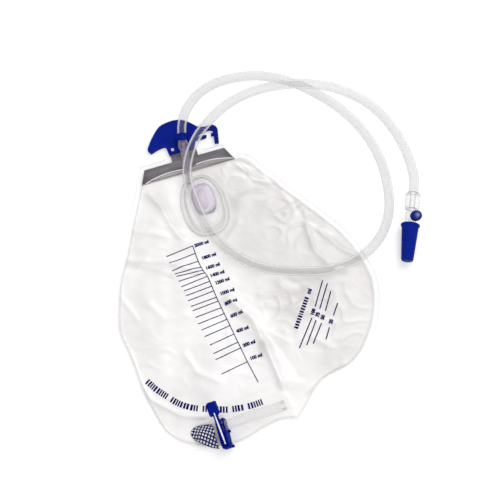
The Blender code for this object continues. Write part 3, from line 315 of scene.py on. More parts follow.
chamberFinish = clearMaterial("chamberFinish", (0.985, 0.98, 0.985), 0.10, [
    (0.0, 0.90, 0.06), (0.3, 0.92, 0.09), (0.45, 1.0, 0.50), (0.75, 0.80, 0.36), (1.0, 0.42, 0.58)],
    [(0.0, 0.20, 0.20), (0.5, 0.24, 0.26), (1.0, 0.20, 0.40)], specular=0.5)
portFinish = clearMaterial("portFinish", (0.98, 0.98, 0.98), 0.12, [
    (0.0, 0.95, 0.03), (0.5, 0.95, 0.06), (0.8, 0.85, 0.12), (1.0, 0.75, 0.2)], specular=0.35)
collarFinish = clearMaterial("collarFinish", (0.72, 0.62, 0.80), 0.14, [
    (0.0, 0.60, 0.16), (0.4, 0.75, 0.30), (0.7, 0.50, 0.55), (1.0, 0.40, 0.75)], specular=0.35)
violetFinish = clearMaterial("violetFinish", (0.88, 0.72, 0.97), 0.10, [
    (0.0, 0.95, 0.16), (0.08, 0.62, 0.34), (0.25, 0.88, 0.24), (0.5, 0.62, 0.48), (0.75, 0.38, 0.72),
    (1.0, 0.22, 0.88)],
    specular=0.6, coat=1.0)
blueFinish = plainMaterial("blueFinish", (0.001, 0.009, 0.195), (0.003, 0.013, 0.235), 0.38, bump=0.12, specular=0.03)
capFinish = plainMaterial("capFinish", (0.001, 0.010, 0.205), (0.002, 0.016, 0.26), 0.34, bump=0.15, coat=0.04,
                          specular=0.04)
clampFinish = plainMaterial("clampFinish", (0.002, 0.007, 0.19), (0.003, 0.012, 0.25), 0.5, bump=0.1, specular=0.02)
filterFinish = plainMaterial("filterFinish", (0.965, 0.96, 0.955), (0.92, 0.91, 0.91), 0.8, alpha=0.1, fine=2600.0,
                             bump=0.5, specular=0.1)
# white of the creases over the bar: a painted highlight
paintedCreaseHighlight = plainMaterial("paintedCreaseHighlight", (0.97, 0.97, 0.965), (0.90, 0.89, 0.89), 0.3, coarse=220.0, specular=0.3)
inkFinish = plainMaterial("inkFinish", (0.003, 0.003, 0.075), (0.006, 0.006, 0.105), 0.5, coarse=300.0, fine=2000.0,
                          specular=0.02)
smokeFinish, leverFinish, septumFinish = makeSmoke(), makeLeverFinish(), makeSeptumFinish()
print("materials made")


# smooth lines and surfaces

mergeDistance = 0.0000004


def smoothLine(points, perSpan=14):
    # centripetal Catmull-Rom curve through all points, worked out span by span as one array
    known = np.array(points, dtype=float)
    ctrl = np.vstack([2.0 * known[0] - known[1], known, 2.0 * known[-1] - known[-2]])
    spans = len(ctrl) - 3
    p = [ctrl[k:spans + k][:, None, :] for k in range(4)]
    t = [np.zeros((spans, 1))]
    for k in range(3):
        t.append(t[k] + np.sqrt(np.linalg.norm(p[k + 1] - p[k], axis=2)))
    at = t[1] + (t[2] - t[1]) * (np.arange(perSpan) / perSpan)[None, :]

    def mixed(a, b, start, end):
        return a + (b - a) * ((at - start) / (end - start))[:, :, None]

    first, second, third = (mixed(p[k], p[k + 1], t[k], t[k + 1]) for k in range(3))
    dense = mixed(mixed(first, second, t[0], t[2]), mixed(second, third, t[1], t[3]), t[1], t[2])
    return np.vstack([dense.reshape(-1, known.shape[1]), known[-1]])


def lineShares(line):
    # length run along the line at each of its points
    return np.concatenate([[0.0], np.cumsum(np.linalg.norm(np.diff(line, axis=0), axis=1))])


def along(line, share):
    # places at shares of the line's length
    run = lineShares(line)
    share = np.asarray(share, dtype=float) * run[-1]
    return np.stack([np.interp(share, run, line[:, k]) for k in range(line.shape[1])], axis=-1)


def inMetres(points):
    return [(x / 1000.0, y / 1000.0) for x, y in points]


def ease(value, start, end):
    # smooth step from 0 to 1: share * share * (3 - 2 * share)
    share = np.clip((np.asarray(value, dtype=float) - start) / (end - start), 0.0, 1.0)
    return share * share * (3.0 - 2.0 * share)


def lineDistance(x, y, points):
    # distance of every point from a chain of straight runs
    best = np.full(np.shape(x), 1.0)
    for (ax, ay), (bx, by) in zip(points[:-1], points[1:]):
        dx, dy = bx - ax, by - ay
        share = np.clip(((x - ax) * dx + (y - ay) * dy) / (dx * dx + dy * dy), 0.0, 1.0)
        best = np.minimum(best, np.hypot(x - ax - share * dx, y - ay - share * dy))
    return best


def gridFaces(rows, columns, wrapRows=False, wrapColumns=False):
    # four corners of every cell of a grid whose points are numbered row by row
    r, c = np.meshgrid(np.arange(rows if wrapRows else rows - 1), np.arange(columns if wrapColumns else columns - 1),
                       indexing="ij")
    r2, c2 = (r + 1) % rows, (c + 1) % columns
    return np.stack([r * columns + c, r * columns + c2, r2 * columns + c2, r2 * columns + c], axis=-1).reshape(-1, 4)


def mergeDoubles(mesh, outwards=False):
    work = bmesh.new()
    work.from_mesh(mesh)
    bmesh.ops.remove_doubles(work, verts=work.verts, dist=mergeDistance)
    if outwards:
        bmesh.ops.recalc_face_normals(work, faces=work.faces)
    work.to_mesh(mesh)
    work.free()


def addPiece(name, mesh, material, body="bag"):
    mesh.materials.clear()
    mesh.materials.append(material)
    piece = addObject(name, mesh)
    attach(piece, body)
    return piece


def shapedMesh(holder):
    # the mesh of an object as its modifiers or its text make it
    graph = bpy.context.evaluated_depsgraph_get()
    graph.update()
    return bpy.data.meshes.new_from_object(holder.evaluated_get(graph))


def finishMesh(name, places, faces, material, node=None, body="bag", slot="clear_plastic", sharp=40.0,
               attributes=None):
    # one closed piece: doubles merged, faces turned outwards, placed by its mesh alone
    mesh = bpy.data.meshes.new(name)
    mesh.from_pydata(np.asarray(places).reshape(-1, 3).tolist(), [], np.asarray(faces).tolist())
    for label, values in (attributes or {}).items():
        layer = mesh.attributes.new(label, "FLOAT", "POINT")
        layer.data.foreach_set("value", np.asarray(values, dtype=np.float32).ravel())
    mergeDoubles(mesh, outwards=True)
    mesh.shade_smooth()
    mesh.set_sharp_from_angle(angle=math.radians(sharp))
    piece = addPiece(name, mesh, material, body)
    if node:
        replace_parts(piece, node)
    return piece


def ringGrid(path, radius, sides):
    # circles of the given radius, one at each point of a mostly level path: side and up are square to the path
    ahead = np.gradient(path, axis=0)
    ahead /= np.linalg.norm(ahead, axis=1)[:, None]
    side = np.cross(ahead, (0.0, 0.0, 1.0))
    side /= np.linalg.norm(side, axis=1)[:, None]
    up = np.cross(side, ahead)
    turn = np.arange(sides) * 2.0 * math.pi / sides
    spokes = np.cos(turn)[None, :, None] * side[:, None, :] + np.sin(turn)[None, :, None] * up[:, None, :]
    return path[:, None, :] + radius * spokes


def hollowTube(name, path, size, material, paintedShade=None, **more):
    # outer wall out along the path and inner wall back, joined at both ends
    sides = size["sides"]
    inner = ringGrid(path, size["radius"] - size["wall"], sides)
    grid = np.concatenate([ringGrid(path, size["radius"], sides), inner[::-1]])
    marks = {"inner": np.repeat(np.arange(len(grid)) >= len(path), sides).astype(float)}
    # the shade mark, when given, is painted shade along the path on both walls
    if paintedShade is not None:
        marks["paintedShade"] = np.repeat(np.concatenate([paintedShade, paintedShade[::-1]]), sides)
    faces = gridFaces(len(grid), sides, wrapRows=True, wrapColumns=True)
    return finishMesh(name, grid, faces, material, sharp=60.0, attributes=marks, **more)


def turned(name, profile, start, axis, material, steps=48, closed=True, marks=None, **more):
    # a profile of (radius, distance along the axis) turned about that axis
    axis = np.asarray(axis, dtype=float) / np.linalg.norm(axis)
    side = np.cross(axis, (0.0, 0.0, 1.0)) if abs(axis[2]) < 0.9 else np.array([1.0, 0.0, 0.0])
    side = side / np.linalg.norm(side)
    profile = np.array(profile, dtype=float)
    turn = np.arange(steps) * 2.0 * math.pi / steps
    spokes = np.cos(turn)[:, None] * side + np.sin(turn)[:, None] * np.cross(side, axis)
    grid = np.asarray(start) + profile[:, 1][:, None, None] * axis + profile[:, 0][:, None, None] * spokes[None]
    marks = {label: np.repeat(values, steps) for label, values in (marks or {}).items()}
    faces = gridFaces(len(profile), steps, wrapRows=closed, wrapColumns=True)
    return finishMesh(name, grid, faces, material, attributes=marks, **more)


def joined(name, pieces, operation="UNION"):
    # the first piece with the others welded into it or cut from it
    main = pieces[0]
    for other in pieces[1:]:
        modifier = main.modifiers.new(other.name, "BOOLEAN")
        modifier.operation, modifier.solver, modifier.object = operation, "EXACT", other
    mesh = shapedMesh(main)
    main.modifiers.clear()
    main.data = mesh
    for other in pieces[1:]:
        bpy.data.objects.remove(other, do_unlink=True)
    main.name = name
    return main


# drainage tube

drainageTube = {
    "radius": 0.00475, "wall": 0.0012, "sides": 40, "rings": 640,
    "route": [
        (0.0021, 0.1583, 0.0105), (0.0028, 0.1624, 0.0105), (0.0036, 0.1668, 0.0105), (0.0066, 0.1770, 0.0103),
        (0.0130, 0.1890, 0.0092), (0.0220, 0.1995, 0.0064), (0.0342, 0.2083, 0.0050), (0.0550, 0.2145, 0.0048),
        (0.0870, 0.2125, 0.0048), (0.1120, 0.2035, 0.0048), (0.1350, 0.1875, 0.0048), (0.1552, 0.1662, 0.0048),
        (0.1724, 0.1419, 0.0048), (0.1844, 0.1134, 0.0048), (0.1896, 0.0818, 0.0048), (0.1866, 0.0492, 0.0049),
        (0.1785, 0.0250, 0.0053), (0.1629, 0.0045, 0.0062), (0.1369, -0.0104, 0.0082), (0.1011, -0.0140, 0.0100),
        (0.0681, -0.0056, 0.0102), (0.0420, 0.0060, 0.0102), (0.0260, 0.0180, 0.0108), (0.0073, 0.0416, 0.0136),
        (-0.0017, 0.0646, 0.0192), (-0.0048, 0.0878, 0.0203), (-0.0057, 0.1081, 0.0200), (-0.0025, 0.1255, 0.0196),
        (0.0061, 0.1429, 0.0190), (0.0192, 0.1599, 0.0152), (0.0374, 0.1749, 0.0104), (0.0567, 0.1859, 0.0080),
        (0.0812, 0.1918, 0.0082), (0.1028, 0.1911, 0.0112), (0.1221, 0.1870, 0.0149), (0.1432, 0.1811, 0.0146),
        (0.1672, 0.1725, 0.0090), (0.1862, 0.1590, 0.0055), (0.2000, 0.1428, 0.0048), (0.2088, 0.1252, 0.0049),
        (0.2146, 0.1057, 0.0053), (0.2173, 0.0849, 0.0062), (0.2170, 0.0680, 0.0077), (0.2138, 0.0490, 0.0094),
        (0.2112, 0.0432, 0.0098), (0.2087, 0.0376, 0.0098),
    ],
}
tubePath = along(smoothLine(drainageTube["route"]), np.linspace(0.0, 1.0, drainageTube["rings"]))
tube = hollowTube("drainageTube", tubePath, drainageTube, tubeFinish, node="drainage_tube")


# films

bag = {
    "width": 0.264, "length": 0.3035, "top": 0.1485, "thickness": 0.00035, "gap": 0.0003,
    "puff": 0.0036, "puffReach": 0.035,
    "barTop": 0.1430, "barBottom": 0.1280, "barHalfTop": 0.0414, "barHalfBottom": 0.0483,
    "tabHalf": 0.0137, "leftExtra": 0.0020, "barSlack": 0.0042, "barLevel": 0.00395,
    "columns": 190, "rows": 235, "backColumns": 90, "backRows": 110, "edgeReach": 0.0007,
    "topLeft": -0.0465, "topRight": 0.040482,
    "leftEdge": [(-0.218, 0.076), (-0.275, 0.175), (-0.343, 0.295), (-0.384, 0.357), (-0.417, 0.437),
                 (-0.443, 0.532), (-0.434, 0.595), (-0.426, 0.659), (-0.420, 0.736), (-0.403, 0.820),
                 (-0.379, 0.891), (-0.337, 0.938)],  # shares of the width and length, as all edges
    "leftCorner": (-0.311, 0.955),
    "bottomEdge": [(-0.284, 0.969), (-0.201, 0.995), (-0.114, 1.0), (-0.011, 0.980), (0.051, 0.972)],
    "rightCorner": (0.116, 0.985),
    "rightEdge": [(0.193, 0.044), (0.239, 0.063), (0.284, 0.122), (0.371, 0.239), (0.441, 0.326),
                  (0.511, 0.428), (0.547, 0.532), (0.557, 0.588), (0.542, 0.664), (0.504, 0.741),
                  (0.432, 0.822), (0.364, 0.862), (0.242, 0.888), (0.174, 0.941)],
    "pressRoute": [(137, -11), (101, -14.5), (68, -6), (42, 6), (26, 18), (8, 42)],
    "pressHalfWidth": 0.006, "pressLevel": 0.0047,
    "folds": [  # line, height and half width, all in mm
        ([(0, -14), (16, -40), (20, -68)], 5.0, 5.0), ([(20, -68), (23, -100), (25, -123), (29, -146)], 6.0, 3.6),
        ([(-94, 60), (-64, 47), (-44, 39), (-20, 22)], 2.2, 3.0),
        ([(-46, 116), (-38, 98), (-34, 76), (-28, 60)], 2.4, 3.2), ([(31, 60), (13, 46)], 2.0, 2.8),
        ([(-77, 86), (-52, 73), (-42, 66)], 2.0, 3.0),
        ([(47, 124), (61, 100), (82, 92)], 2.2, 2.6), ([(54, 128), (70, 111), (85, 92)], 1.8, 2.2),
        ([(80, 57), (97, 63), (105, 72)], 2.4, 3.0), ([(96, 38), (95, 11), (106, -9), (118, -18)], 2.0, 3.0),
        ([(108, 29), (121, 6), (135, -7)], 1.8, 3.2), ([(30, -18), (52, -23), (78, -26)], 1.6, 2.2),
        ([(34, -30), (46, -37), (61, -40)], 1.8, 2.4),
        ([(-116, -18), (-109, -41), (-108, -65), (-100, -88), (-78, -110), (-56, -119)], 2.2, 2.6),
        ([(-57, -54), (-51, -75), (-33, -90)], 1.8, 3.2), ([(-104, 26), (-96, 5), (-92, -7)], 1.4, 2.6),
        ([(66, -74), (74, -82), (82, -90)], 2.0, 3.0), ([(-76, 4), (-66, -15), (-46, -16)], 1.2, 3.6),
        ([(44, -126), (67, -118), (88, -108)], 1.6, 2.4), ([(18, -48), (34, -78), (41, -106)], -1.6, 4.5),
    ],
    "crumples": [(0.068, 0.106, 0.030, 0.0016), (0.094, 0.052, 0.034, 0.0011), (-0.062, 0.058, 0.036, 0.0008),
                 (0.056, -0.038, 0.026, 0.0010), (0.104, -0.060, 0.040, 0.0007), (-0.086, -0.060, 0.036, 0.0006),
                 (0.020, -0.060, 0.040, 0.0006)],  # place, reach and depth of crumpled areas
    "waves": [(0.0005, 0.060, 9, 4), (0.0002, 0.022, 11, 9)],  # height, length, count and seed
    "weldInset": 0.0062, "weldRise": 0.0005, "weldReach": 0.0011,
    # painted highlights along folds of the film
    "paintedHighlightLines": [  # line, half width in mm and strength
        ([(17, -73), (17, -91), (23, -110), (29, -129), (30, -149)], 2.6, 0.85), ([(-98, 22), (-92, 4)], 9.0, 0.45),
        ([(-66, 118), (-60, 100)], 7.0, 0.3),
        ([(-29, -146), (-7, -145), (13, -145), (27, -145)], 1.5, 0.6),
        ([(-109, -77), (-108, -100), (-104, -119), (-96, -131), (-85, -140), (-70, -146)], 2.0, 0.6),
        ([(37, 0), (52, -4), (67, -20)], 3.4, 0.4), ([(101, -12), (118, -14), (128, -19)], 3.0, 0.35),
        ([(41, 126), (58, 117), (72, 111), (74, 95)], 3.0, 0.55), ([(44, 112), (56, 104), (70, 96)], 2.4, 0.5),
        ([(85, 80), (90, 68), (91, 54)], 2.2, 0.45), ([(-91, 62), (-78, 54), (-62, 45)], 2.6, 0.4),
        ([(100, 40), (108, 31), (118, 22)], 2.4, 0.4), ([(-60, 112), (-50, 96), (-44, 84)], 2.6, 0.4),
        ([(-112, -28), (-108, -50), (-101, -66)], 2.2, 0.5)],
    # painted shade along creases of the film
    "paintedShadeLines": [
        ([(12, -36), (17, -53), (25, -69), (28, -94)], 3.6, 0.28),
        ([(-92, 56), (-80, 48), (-67, 39), (-48, 26)], 3.0, 0.34),
        ([(94, 41), (93, 29), (95, 12)], 1.8, 0.45), ([(-42, 110), (-30, 92), (-27, 76)], 6.0, 0.40),
        ([(-100, 23), (-84, 12), (-78, -2), (-74, -23)], 4.0, 0.16), ([(-16, 70), (-2, 55), (14, 56)], 3.0, 0.25),
        ([(36, 84), (52, 70), (70, 62)], 9.0, 0.12), ([(50, -22), (70, -26), (100, -16)], 2.2, 0.12),
        ([(-38, -120), (-20, -128), (2, -128)], 4.0, 0.14), ([(44, -125), (64, -117), (84, -108)], 2.4, 0.25),
        ([(62, 100), (74, 88), (84, 76)], 2.2, 0.3), ([(83, 72), (92, 62), (97, 54)], 1.6, 0.3),
        ([(54, -8), (66, -14), (80, -16)], 2.0, 0.2)],
}
chamber = {"x": 0.004, "y": 0.0885, "halfWidth": 0.0195, "halfLength": 0.0297, "height": 0.0102, "wall": 0.001,
           "flange": 0.004, "flangeLength": 0.0033, "flangeThickness": 0.001, "seat": 0.0029, "squareness": 2.7,
           "narrowing": 0.12, "steps": 96, "rings": 22, "bandShare": 0.91, "bandReach": 0.07}
vent = {"x": 0.042, "y": 0.102, "radius": 0.0085, "rimWidth": 0.0014, "rimHeight": 0.0013, "discHeight": 0.0006}
port = {"x": 0.026, "y": -0.1303, "seat": 0.0012, "flangeRadius": 0.0085, "flangeThickness": 0.0011,
        "bossRadius": 0.0052, "bossHeight": 0.0118, "spigotLength": 0.0095, "spigotHeight": 0.0070}
outlet = {"radius": 0.005, "wall": 0.0014, "turn": math.radians(3.3), "straight": 0.0165,
          "end": (-0.0605, -0.1353), "sides": 40, "rings": 160}
clamp = {"place": (-0.0431, -0.1327, 0.0098), "turn": math.radians(-2.0), "roll": math.radians(-15.0),
         "straight": 0.0064, "halfWidth": 0.004}
pocket = {"left": (-0.0735, -0.1305), "mouth": (-0.0515, -0.1395), "halfWidth": 0.0118, "reach": 0.013,
          "rise": 0.0016, "columns": 60, "rows": 64}
filmSkin = bag["thickness"] + bag["gap"]  # one film and the clearance on it
outletAim = np.array([-math.cos(outlet["turn"]), -math.sin(outlet["turn"]), 0.0])


def filmPlace(share):
    return (share[0] * bag["width"], bag["top"] - share[1] * bag["length"])


def bagEdges():
    topLeft, topRight = (bag["topLeft"], bag["top"]), (bag["topRight"], bag["top"])
    left, right = filmPlace(bag["leftCorner"]), filmPlace(bag["rightCorner"])
    return {
        "left": smoothLine([topLeft, *map(filmPlace, bag["leftEdge"]), left]),
        "right": smoothLine([topRight, *map(filmPlace, bag["rightEdge"]), right]),
        "bottom": smoothLine([left, *map(filmPlace, bag["bottomEdge"]), right]),
        "top": smoothLine([topLeft, topRight]),
    }


edges = bagEdges()
bagOutline = np.vstack([
    along(edges["left"], np.linspace(0, 1, 60))[:-1], along(edges["bottom"], np.linspace(0, 1, 26))[:-1],
    along(edges["right"], np.linspace(0, 1, 60))[::-1][:-1], along(edges["top"], np.linspace(0, 1, 5))[::-1]])


def beside(line, down):
    # level with the bar at the top, then at even distances along the side edge
    run = lineShares(line) / lineShares(line)[-1]
    level = np.interp(-(bag["top"] - down * bag["length"]), -line[:, 1], run)
    return along(line, level + (down - level) * ease(down, 0.09, 0.4))


def bagGrid(columns, rows):
    # Coons patch over the bag's four edges, rows from the top down
    across, down = np.meshgrid(np.linspace(0, 1, columns), np.linspace(0, 1, rows))
    left, right = beside(edges["left"], down), beside(edges["right"], down)
    top, bottom = along(edges["top"], across), along(edges["bottom"], across)
    u, v = across[..., None], down[..., None]
    upper, lower = ((1 - u) * edges["left"][end] + u * edges["right"][end] for end in (0, -1))
    return (1 - u) * left + u * right + (1 - v) * top + v * bottom - ((1 - v) * upper + v * lower)


def wavyField(x, y, length, count, seed):
    # sum of a few plane waves in random directions
    picks = np.random.default_rng(seed)
    total = np.zeros(np.shape(x))
    for heading, phase, stretch in zip(picks.uniform(0, math.pi, count), picks.uniform(0, 2 * math.pi, count),
                                       picks.uniform(0.7, 1.5, count)):
        total += np.cos(2 * math.pi * (x * math.cos(heading) + y * math.sin(heading)) / (length * stretch) + phase)
    return total / math.sqrt(count)


def outletRoute():
    # centre line of the outlet tube: straight over the spigot and through the clamp
    start = Vector((port["x"], port["y"], port["seat"] + filmSkin + port["spigotHeight"]))
    aim, middle = Vector(outletAim), Vector(clamp["place"])
    through = Vector((math.cos(clamp["turn"]) * math.cos(clamp["roll"]),
                      math.sin(clamp["turn"]) * math.cos(clamp["roll"]), -math.sin(clamp["roll"])))
    near, far = middle + through * clamp["straight"], middle - through * clamp["straight"]
    inner = through * clamp["halfWidth"]
    rise = start.lerp(near, 0.55) + Vector((0.0, 0.0, 0.0012))
    end = Vector((*outlet["end"], port["seat"] + filmSkin + bag["gap"] + outlet["radius"]))
    return smoothLine([start, start + aim * outlet["straight"] * 0.5, start + aim * outlet["straight"], rise, near,
                       middle + inner, middle, middle - inner, far, end + Vector((0.006, 0.0006, 0.0002)), end], 10)


outletPath = outletRoute()


def outletAt(x):
    # place across and height of the outlet tube's centre line
    return tuple(np.interp(x, outletPath[::-1, 0], outletPath[::-1, k]) for k in (1, 2))


def outsideBar(x, y):
    # distance outside the bar and its tab, and nothing over them
    down = np.clip((bag["barTop"] - y) / (bag["barTop"] - bag["barBottom"]), 0.0, 1.0)
    half = bag["barHalfTop"] + (bag["barHalfBottom"] - bag["barHalfTop"]) * down + bag["leftExtra"] * (x < 0.0)
    fromBar = np.maximum.reduce([np.abs(x) - half - bag["barSlack"], y - bag["barTop"], bag["barBottom"] - y, 0 * x])
    fromTab = np.maximum.reduce([np.abs(x) - bag["tabHalf"] - bag["barSlack"], bag["barBottom"] - y, 0 * x])
    return np.minimum(fromBar, fromTab)


def filmLevel(x, y):
    # height of the front film's underside: a low pillow with folds, crumples and seats pressed flat
    rim = lineDistance(x, y, bagOutline)
    level = filmSkin + bag["puff"] * ease(rim, 0.004, bag["puffReach"])
    loose = ease(rim, 0.003, 0.014)
    for points, height, half in bag["folds"]:
        away = lineDistance(x, y, inMetres(points)) / (half / 1000.0)
        level += height / 1000.0 * np.exp(-np.abs(away) ** 1.6) * ease(rim, 0.0015, 0.009)
    for height, length, count, seed in bag["waves"]:
        level += height * wavyField(x, y, length, count, seed) * loose
    for cx, cy, reach, depth in bag["crumples"]:
        mask = np.exp(-((x - cx) ** 2 + (y - cy) ** 2) / (reach * reach)) * loose
        ridges = 1.0 - np.minimum(np.abs(wavyField(x, y, 0.026, 7, int(cx * 9000) % 97)), 1.0)
        level += depth * mask * (ridges ** 2.2 * 1.6 - 0.5)
    level += bag["weldRise"] * np.exp(-((rim - bag["weldInset"]) / bag["weldReach"]) ** 2)
    pressed = lineDistance(x, y, inMetres(bag["pressRoute"]))  # where the drainage tube lies on the film
    press = 1.0 - ease(pressed, bag["pressHalfWidth"], bag["pressHalfWidth"] + 0.008)
    level -= press * np.maximum(level - bag["pressLevel"], 0.0)
    oval = np.hypot((x - chamber["x"]) / (chamber["halfWidth"] + chamber["flange"]),
                    (y - chamber["y"]) / (chamber["halfLength"] + chamber["flangeLength"]))
    disc = np.hypot(x - vent["x"], y - vent["y"]) / vent["radius"]
    strip = lineDistance(x, y, [(pocket["left"][0], outletAt(pocket["left"][0])[0] - 0.004),
                                (port["x"] + 0.002, port["y"])]) / pocket["halfWidth"]
    for away, inner, outer, seat in ((oval, 1.06, 1.5, chamber["seat"]), (disc, 1.15, 2.2, chamber["seat"]),
                                     (strip, 1.08, 2.1, port["seat"])):
        level += (1.0 - ease(away, inner, outer)) * (seat - level)
    ramp = 1.0 - ease(outsideBar(x, y), 0.0013, 0.0038)
    return np.maximum.reduce([level, filmSkin + ramp * (bag["barLevel"] - filmSkin), filmSkin + 0 * x])


def barArc(x):
    # height on the bar of the crease where the film lifts off it: a bow on each side of the tab
    away = np.abs(x) - 0.018
    bow = np.where(away > 0.0, 0.0045 * (away / 0.027) ** 2, 0.0016 * (away / 0.018) ** 2)
    return bag["barBottom"] + 0.0046 + 0.0014 * ease(x, -0.002, 0.012) - bow


def markedBy(x, y, marks):
    # sum of soft lines with a bell-shaped cross section
    total = np.zeros(np.shape(x))
    for points, half, strength in marks:
        total += strength * np.exp(-(lineDistance(x, y, inMetres(points)) / (half / 1000.0)) ** 2)
    return total


def milkOf(x, y):
    # how milky the front film looks: clear at the weld and over the bar's upper part
    rim = lineDistance(x, y, bagOutline)
    milk = ease(rim, 0.0042, 0.0080)
    milk = np.maximum(milk, 0.35 * np.exp(-(rim / bag["edgeReach"]) ** 2) * ease(x + y, 0.0, 0.08))
    overBar = 1.0 - ease(outsideBar(x, y), 0.0, 0.0022)
    # extra milk in a lens low on the bar is a painted reflection band
    lens = ease(barArc(x) - y, 0.0, 0.0010) * ease(y - bag["barBottom"], 0.0004, 0.0016)
    return milk * (1.0 - overBar) + overBar * (0.005 + 0.20 * lens)


def shadeOf(x, y):
    # how grey the front film looks: more so on the right and in soft waves, with painted shade along some creases and
    # painted highlights along others
    rim = lineDistance(x, y, bagOutline)
    level = 0.20 + 0.62 * ease(x + 0.25 * y, 0.0, 0.055) - 0.06 * ease(-x, 0.07, 0.11)
    level += 0.07 * wavyField(x, y, 0.050, 7, 21) + 0.05 * wavyField(0.6 * x + 0.8 * y, 0.3 * (y - x), 0.012, 5, 33)
    level += markedBy(x, y, bag["paintedShadeLines"])
    level *= np.clip(1.0 - 1.3 * markedBy(x, y, bag["paintedHighlightLines"]), 0.0, 1.0)
    level -= 0.24 * ease(-y, 0.035, 0.085) * ease(x, 0.02, 0.06)
    return np.clip(level + 0.7 * np.exp(-(rim / bag["edgeReach"]) ** 2), 0.0, 1.0)


def sheetPiece(name, grid, low, material, marks, node):
    # a film with thickness: upper face, lower face and the strip round its edge
    rows, columns = grid.shape[:2]
    count = rows * columns
    top, under = (np.concatenate([grid, level[..., None]], axis=-1).reshape(-1, 3)
                  for level in (low + bag["thickness"], low))
    faces, index = gridFaces(rows, columns), np.arange(count).reshape(rows, columns)
    loop = np.concatenate([index[0, :-1], index[:-1, -1], index[-1, :0:-1], index[:0:-1, 0]])
    ahead = np.roll(loop, -1)
    rimFaces = np.stack([loop, ahead, ahead + count, loop + count], axis=-1)
    faces = np.vstack([faces, faces[:, ::-1] + count, rimFaces])
    return finishMesh(name, np.vstack([top, under]), faces, material, node, slot="clear_film", sharp=70.0,
                      attributes={label: np.tile(values.ravel(), 2) for label, values in marks.items()})


frontGrid = bagGrid(bag["columns"], bag["rows"])
frontPlace = (frontGrid[..., 0], frontGrid[..., 1])
frontFilm = sheetPiece("frontFilm", frontGrid, filmLevel(*frontPlace), frontFilmFinish,
                       {"milk": milkOf(*frontPlace), "shade": shadeOf(*frontPlace)}, "front_film")
backGrid = bagGrid(bag["backColumns"], bag["backRows"])
backMilk = ease(lineDistance(backGrid[..., 0], backGrid[..., 1], bagOutline), 0.0045, 0.0085)
backFilm = sheetPiece("backFilm", backGrid, 0 * backMilk, backFilmFinish, {"milk": backMilk}, "back_film")
print("films laid")


# printed scale

ink = {
    "lift": 0.00012, "labelLift": 0.00024, "body": 0.00010, "line": 0.00086, "smallLine": 0.00112,
    "mainLine": [(-19.0, 50.3), (-18.3, 33.4), (-16.9, 24.2), (-14.1, 15.5), (-11.5, -8.0), (-7.1, -39.0),
                 (-1.4, -78.5), (2.7, -101.1)],
    "ticks": [  # right end (mm), length (mm) and slope (degrees)
        (-19.0, 50.3, 28.4, 6.2), (-18.5, 42.2, 28.2, 5.4), (-18.3, 33.4, 27.5, 4.3), (-16.9, 26.3, 27.3, -2.2),
        (-16.4, 22.2, 27.1, -4.9), (-15.2, 19.6, 27.4, 1.7), (-14.1, 15.5, 27.7, 6.0), (-13.4, 9.9, 27.3, 4.9),
        (-12.9, 4.5, 27.0, 4.4), (-12.2, -0.7, 27.4, 5.0), (-11.5, -7.6, 26.9, 3.9), (-11.0, -11.8, 26.9, 4.8),
        (-9.8, -19.1, 27.4, 4.7), (-8.9, -25.7, 27.6, 5.7), (-8.0, -32.0, 27.2, 7.1), (-7.1, -39.0, 27.1, 7.8),
        (-5.8, -48.3, 26.0, 9.0), (-4.5, -57.3, 26.6, 9.3), (-3.6, -63.6, 27.1, 9.3), (-1.4, -78.5, 27.9, 9.7)],
    "labels": [("2000", -9.9, 50.1), ("1800", -6.7, 35.3), ("1600", -6.0, 24.2), ("1400", -3.9, 15.3),
               ("1200", -1.3, 6.6), ("1000", 0.2, -5.4), ("800", 0.6, -16.8), ("600", 2.3, -30.0),
               ("400", 3.4, -46.3), ("200", 5.4, -61.9), ("100", 8.0, -76.3)],
    "smallLines": [[(93.7, -21.7), (78.4, -45.2)], [(71.8, -55.1), (50.8, -80.6)], [(97.2, -26.1), (82.0, -48.7)],
                   [(75.1, -58.5), (58.6, -79.8)], [(97.9, -34.8), (86.6, -52.3)], [(79.3, -62.8), (65.2, -80.2)],
                   [(100.7, -48.2), (93.0, -58.6)], [(85.4, -69.0), (78.2, -79.9)]],
    "smallLabels": [("100", 74.9, -49.8), ("75", 78.4, -53.7), ("50", 82.4, -57.7), ("25", 88.8, -64.0)],
    "title": [(53.6, -60.8), (74.3, -32.9)],
    "titleMarks": [1.6, 1.5, 1.6, 1.4, 1.6, 0.8, 1.6, 1.6, 1.5, 1.6, 1.4, 1.6],
    "titleUnit": ("ml", 77.6, -28.7),
    "arc": [(-99.6, -68.2), (-93.2, -78.8), (-84.5, -89.4), (-75.9, -98.9), (-65.4, -106.0), (-57.0, -109.8),
            (-44.5, -114.0), (-31.2, -118.1), (-20.8, -119.5), (-10.5, -120.4), (1.8, -119.8)],
    "titleHeight": 4.2, "arcHeight": 5.8, "barSpace": 0.0008, "wordSpace": 0.0034,
    "pairFrom": 0.0022, "pairShare": 0.38,
    "labelStyle": (3.0, 3.3, 0.00026), "smallStyle": (56.0, 3.4, 0.00030), "unitStyle": (54.0, 4.0, 0.00030),
    "fontScale": 1.38, "creaseWidth": 0.0007, "creaseSpans": ((-0.0455, -0.0035), (0.0085, 0.0465)),
    "arcMarks": [4.4, 3.4, 5.0, 3.6, 3.4, 0, 4.4, 3.4, 4.8, 5.6, 3.8, 0, 3.8, 4.0, 1.7, 5.0, 4.2, 0, 3.9, 5.0, 0, 4.6,
                 3.6, 3.4],
}


def inkPath(points, perSpan=10):
    line = np.array(points, dtype=float) / 1000.0
    return smoothLine(line, perSpan) if len(line) > 2 else line


